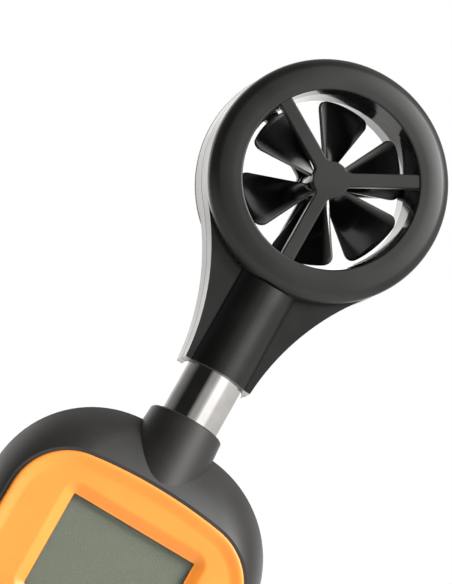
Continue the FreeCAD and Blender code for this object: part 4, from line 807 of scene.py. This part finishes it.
# smooth taper from the front bezel's lip down to the bore, moulded with the front shell
funnel = bmesh.new()
funnel_corners = [(throat_radius, -ring_seat + funnel_lap), (throat_end, funnel_back),
                  (throat_radius + funnel_lap, funnel_back)]
drawn = draw_profile(funnel, [(radius, depth, 0) for radius, depth in funnel_corners], closed=True)
spin_round(funnel, drawn, axis=(0, 1, 0), steps=ring_steps)
bmesh.ops.translate(funnel, verts=funnel.verts, vec=duct_middle)
place_piece("duct_funnel", funnel, "head", duct_gloss, sharp=32.0)

# ---------------------------------------------------------------- bearings, pickup
# Small bronze bushes in the guards' hubs. The magnet's passing is felt by the sensor on the little
# board in the neck.
bearing_bronze = turned_metal("bearing_bronze", (0.55, 0.36, 0.20), 0.35)
dress(bearing_bronze, "front_bearing", "rear_bearing")
magnet_ferrite = moulded("magnet_ferrite", (0.05, 0.05, 0.055), (0.07, 0.07, 0.075), 0.4)
dress(magnet_ferrite, "hub_magnet")

# ---------------------------------------------------------------- impeller
# Six thin twisted blades with rounded tip corners on a small hub, one moulding in glossy black plastic,
# pressed on a steel pin. The paler band along the blades' front edges is a painted highlight.
blade_count = 6
blade_root, blade_tip = 0.0032, 0.0199
blade_front, blade_back = 0.0047, 0.0029
blade_twist, blade_start = 44.0, 12.3
blade_thick = 0.0008
blade_camber = 1.5
tip_round = 0.0022
blade_soften = 0.00025
# reach of the painted highlight ahead of and behind the blades' front edge
highlight_before, highlight_behind = 0.0004, 0.0014
pin_bore = 0.00078
blade_gloss = moulded("blade_gloss", (0.004, 0.004, 0.004), (0.006, 0.006, 0.006), 0.16, grain=900.0,
                      relief=0.00001, strength=0.2)
# painted highlight: a paler grey is mixed in along the blades' front edges in place of the bright reflection
# there
edge_nodes, edge_links = blade_gloss.node_tree.nodes, blade_gloss.node_tree.links
edge_place = edge_nodes.new("ShaderNodeTexCoord")
edge_split = edge_nodes.new("ShaderNodeSeparateXYZ")
blade_highlight_mask = edge_nodes.new("ShaderNodeMapRange")
blade_highlight_mask.interpolation_type = "SMOOTHSTEP"
blade_highlight_mask.inputs["From Min"].default_value = -blade_front - highlight_before
blade_highlight_mask.inputs["From Max"].default_value = -blade_front + highlight_behind
blade_highlight_mask.inputs["To Min"].default_value = 1.0
blade_highlight_mask.inputs["To Max"].default_value = 0.0
blade_highlight_mix = edge_nodes.new("ShaderNodeMix")
blade_highlight_mix.data_type = "RGBA"
blade_highlight_mix.inputs[7].default_value = (0.11, 0.11, 0.105, 1)
edge_links.new(edge_place.outputs["Object"], edge_split.inputs["Vector"])
edge_links.new(edge_split.outputs["Y"], blade_highlight_mask.inputs["Value"])
edge_links.new(blade_highlight_mask.outputs["Result"], blade_highlight_mix.inputs[0])
edge_links.new(blade_gloss.node_tree.nodes["Principled BSDF"].inputs["Base Color"].links[0].from_socket,
               blade_highlight_mix.inputs[6])
edge_links.new(blade_highlight_mix.outputs[2], edge_nodes["Principled BSDF"].inputs["Base Color"])
blades = bmesh.new()
bmesh.ops.create_grid(blades, x_segments=18, y_segments=14, size=0.5)
chord = blade_tip * math.radians(blade_twist)
for vert in blades.verts:
    share = 0.5 - 0.5 * math.cos(math.pi * (vert.co.x + 0.5))
    out = vert.co.y + 0.5
    near = min(share, 1 - share) * chord
    short = tip_round - math.sqrt(tip_round ** 2 - (tip_round - near) ** 2) if near < tip_round else 0.0
    reach = blade_root + out * (blade_tip - short - blade_root)
    angle = math.radians(blade_twist * (share - 0.5) - blade_start)
    depth = blade_back - (blade_front + blade_back) * (1 - share) ** blade_camber
    vert.co = (reach * math.sin(angle), depth, reach * math.cos(angle))
bmesh.ops.spin(blades, geom=blades.verts[:] + blades.edges[:] + blades.faces[:], cent=(0, 0, 0),
               axis=(0, 1, 0), angle=math.tau * (blade_count - 1) / blade_count, steps=blade_count - 1,
               use_duplicate=True)
bmesh.ops.translate(blades, verts=blades.verts, vec=duct_middle)
blade_piece = place_piece("impeller_blades", blades, "rotor", blade_gloss, ["impeller"],
                          sharp=60.0)
wall = blade_piece.modifiers.new("blade_wall", "SOLIDIFY")
wall.thickness = blade_thick
wall.offset = 0.0
soft = blade_piece.modifiers.new("blade_edges", "BEVEL")
soft.width = blade_soften
soft.segments = 2
soft.limit_method = "ANGLE"
soft.angle_limit = math.radians(50)
hub_gloss = moulded("hub_gloss", (0.004, 0.004, 0.004), (0.006, 0.006, 0.006), 0.16, grain=900.0,
                    relief=0.00001, strength=0.2)
hub_low, hub_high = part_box("impeller")
hub_profile = [  # radius, depth
    (pin_bore, hub_low.y), (0.0026, hub_low.y), (0.0034, hub_low.y + 0.0003), (0.0038, hub_low.y + 0.0011),
    (0.0038, hub_high.y - 0.0024), (0.0022, hub_high.y - 0.0024), (0.0022, hub_high.y),
    (pin_bore, hub_high.y)]
boss = bmesh.new()
drawn = draw_profile(boss, [(radius, depth, 0) for radius, depth in hub_profile], closed=True)
spin_round(boss, drawn, axis=(0, 1, 0), steps=64)
bmesh.ops.translate(boss, verts=boss.verts, vec=duct_middle)
place_piece("impeller_hub", boss, "rotor", hub_gloss, ["impeller"], sharp=35.0)

# ---------------------------------------------------------------- floor, light and camera
# A pale round floor under the body in a white surround, whose soft bright panels show only in what
# they light and in reflections, and one large soft lamp above to the right. The camera looks up a
# little from the left, and is tipped over.
floor_radius, floor_gap = 0.40, 0.0003
room_strength = 1.35
room_panels = (  # share of the way round, brightness
    (0.06, 0.012), (0.185, 0.012), (0.222, 0.26), (0.262, 0.30), (0.285, 0.48), (0.305, 1.0), (0.37, 1.0),
    (0.40, 0.58), (0.60, 0.46), (0.69, 1.6), (0.86, 1.6), (0.91, 0.5), (0.95, 0.2))
room_heights = ((0.30, 0.30), (0.42, 1.0), (0.70, 1.0), (0.88, 0.35))  # share of the way up, brightness
camera_away, view_width = 1.7, 0.1394
aim_right, aim_up = 0.00943, 0.03162
stand = bmesh.new()
bmesh.ops.create_circle(stand, cap_ends=True, radius=floor_radius, segments=128)
bmesh.ops.translate(stand, verts=stand.verts, vec=(0, 0, cad_box[0].z - floor_gap))
stand_mesh = bpy.data.meshes.new("floor")
stand.to_mesh(stand_mesh)
stand.free()
floor = bpy.data.objects.new("floor", stand_mesh)
bpy.context.scene.collection.objects.link(floor)
floor_paint = moulded("floor_paint", (0.755, 0.755, 0.755), (0.76, 0.76, 0.76), 0.7, grain=400.0)
stand_mesh.materials.append(floor_paint)

world = bpy.data.worlds.new("studio")
bpy.context.scene.world = world
world.use_nodes = True
sky, sky_links = world.node_tree.nodes, world.node_tree.links
sky.clear()
seen = sky.new("ShaderNodeLightPath")
white = sky.new("ShaderNodeBackground")
white.inputs["Color"].default_value = (1, 1, 1, 1)
room = sky.new("ShaderNodeBackground")
choose = sky.new("ShaderNodeMixShader")
sky_out = sky.new("ShaderNodeOutputWorld")
where = sky.new("ShaderNodeTexCoord")
compass = sky.new("ShaderNodeTexGradient")
compass.gradient_type = "RADIAL"
panels = sky.new("ShaderNodeValToRGB")
panels.color_ramp.interpolation = "LINEAR"
for heading, bright in room_panels:
    panels.color_ramp.elements.new(heading).color = (bright, bright * 0.98, bright * 0.96, 1)
panels.color_ramp.elements[0].color = (0.12, 0.12, 0.12, 1)
panels.color_ramp.elements[-1].color = (0.12, 0.12, 0.12, 1)
height = sky.new("ShaderNodeSeparateXYZ")
ceiling = sky.new("ShaderNodeValToRGB")
for place, bright in room_heights:
    ceiling.color_ramp.elements.new(place).color = (bright, bright, bright, 1)
ceiling.color_ramp.elements[0].color = (0.2, 0.2, 0.2, 1)
ceiling.color_ramp.elements[-1].color = (0.35, 0.35, 0.35, 1)
halved = sky.new("ShaderNodeMapRange")
halved.inputs["From Min"].default_value = -1.0
joined = sky.new("ShaderNodeMix")
joined.data_type = "RGBA"
joined.blend_type = "MULTIPLY"
joined.inputs[0].default_value = 1.0
sky_links.new(where.outputs["Generated"], height.inputs["Vector"])
sky_links.new(height.outputs["Z"], halved.inputs["Value"])
sky_links.new(halved.outputs["Result"], ceiling.inputs["Fac"])
sky_links.new(ceiling.outputs["Color"], joined.inputs[7])
room.inputs["Strength"].default_value = room_strength
sky_links.new(where.outputs["Generated"], compass.inputs["Vector"])
sky_links.new(compass.outputs["Fac"], panels.inputs["Fac"])
sky_links.new(panels.outputs["Color"], joined.inputs[6])
sky_links.new(joined.outputs[2], room.inputs["Color"])
sky_links.new(seen.outputs["Is Camera Ray"], choose.inputs["Fac"])
sky_links.new(room.outputs["Background"], choose.inputs[1])
sky_links.new(white.outputs["Background"], choose.inputs[2])
sky_links.new(choose.outputs["Shader"], sky_out.inputs["Surface"])


def soft_light(name, place, target, size, power):
    """Round soft lamp that looks from one place at another."""
    lamp = bpy.data.lights.new(name, "AREA")
    lamp.shape = "DISK"
    lamp.size = size
    lamp.energy = power
    holder = bpy.data.objects.new(name, lamp)
    holder.location = place
    holder.rotation_mode = "QUATERNION"
    holder.rotation_quaternion = (Vector(target) - Vector(place)).to_track_quat("-Z", "Y")
    bpy.context.scene.collection.objects.link(holder)


soft_light("key_light", (0.50, -0.50, 0.75), (0, 0, 0.12), 0.6, 17.0)

yaw, pitch, roll = math.radians(8.0), math.radians(10.8), math.radians(29.4)
ahead = Vector((math.sin(yaw) * math.cos(pitch), math.cos(yaw) * math.cos(pitch), math.sin(pitch)))
level = Vector((math.cos(yaw), -math.sin(yaw), 0))
above = Vector((-math.sin(yaw) * math.sin(pitch), -math.cos(yaw) * math.sin(pitch), math.cos(pitch)))
image_right = level * math.cos(roll) + above * math.sin(roll)
image_up = above * math.cos(roll) - level * math.sin(roll)
mouth = Vector((0, 0, 0.128))
eye = mouth - ahead * camera_away
aim = (mouth + image_right * aim_right + image_up * aim_up - eye).normalized()
lens = bpy.data.cameras.new("camera")
lens.sensor_width = 36.0
lens.lens = lens.sensor_width * camera_away / view_width
lens.clip_start, lens.clip_end = 0.05, 20.0
camera = bpy.data.objects.new("camera", lens)
bpy.context.scene.collection.objects.link(camera)
side_axis = aim.cross(image_up).normalized()
up_axis = side_axis.cross(aim)
camera.matrix_world = Matrix.Translation(eye) @ Matrix((side_axis, up_axis, -aim)).transposed().to_4x4()
bpy.context.scene.camera = camera
bpy.context.scene.view_settings.view_transform = "Standard"
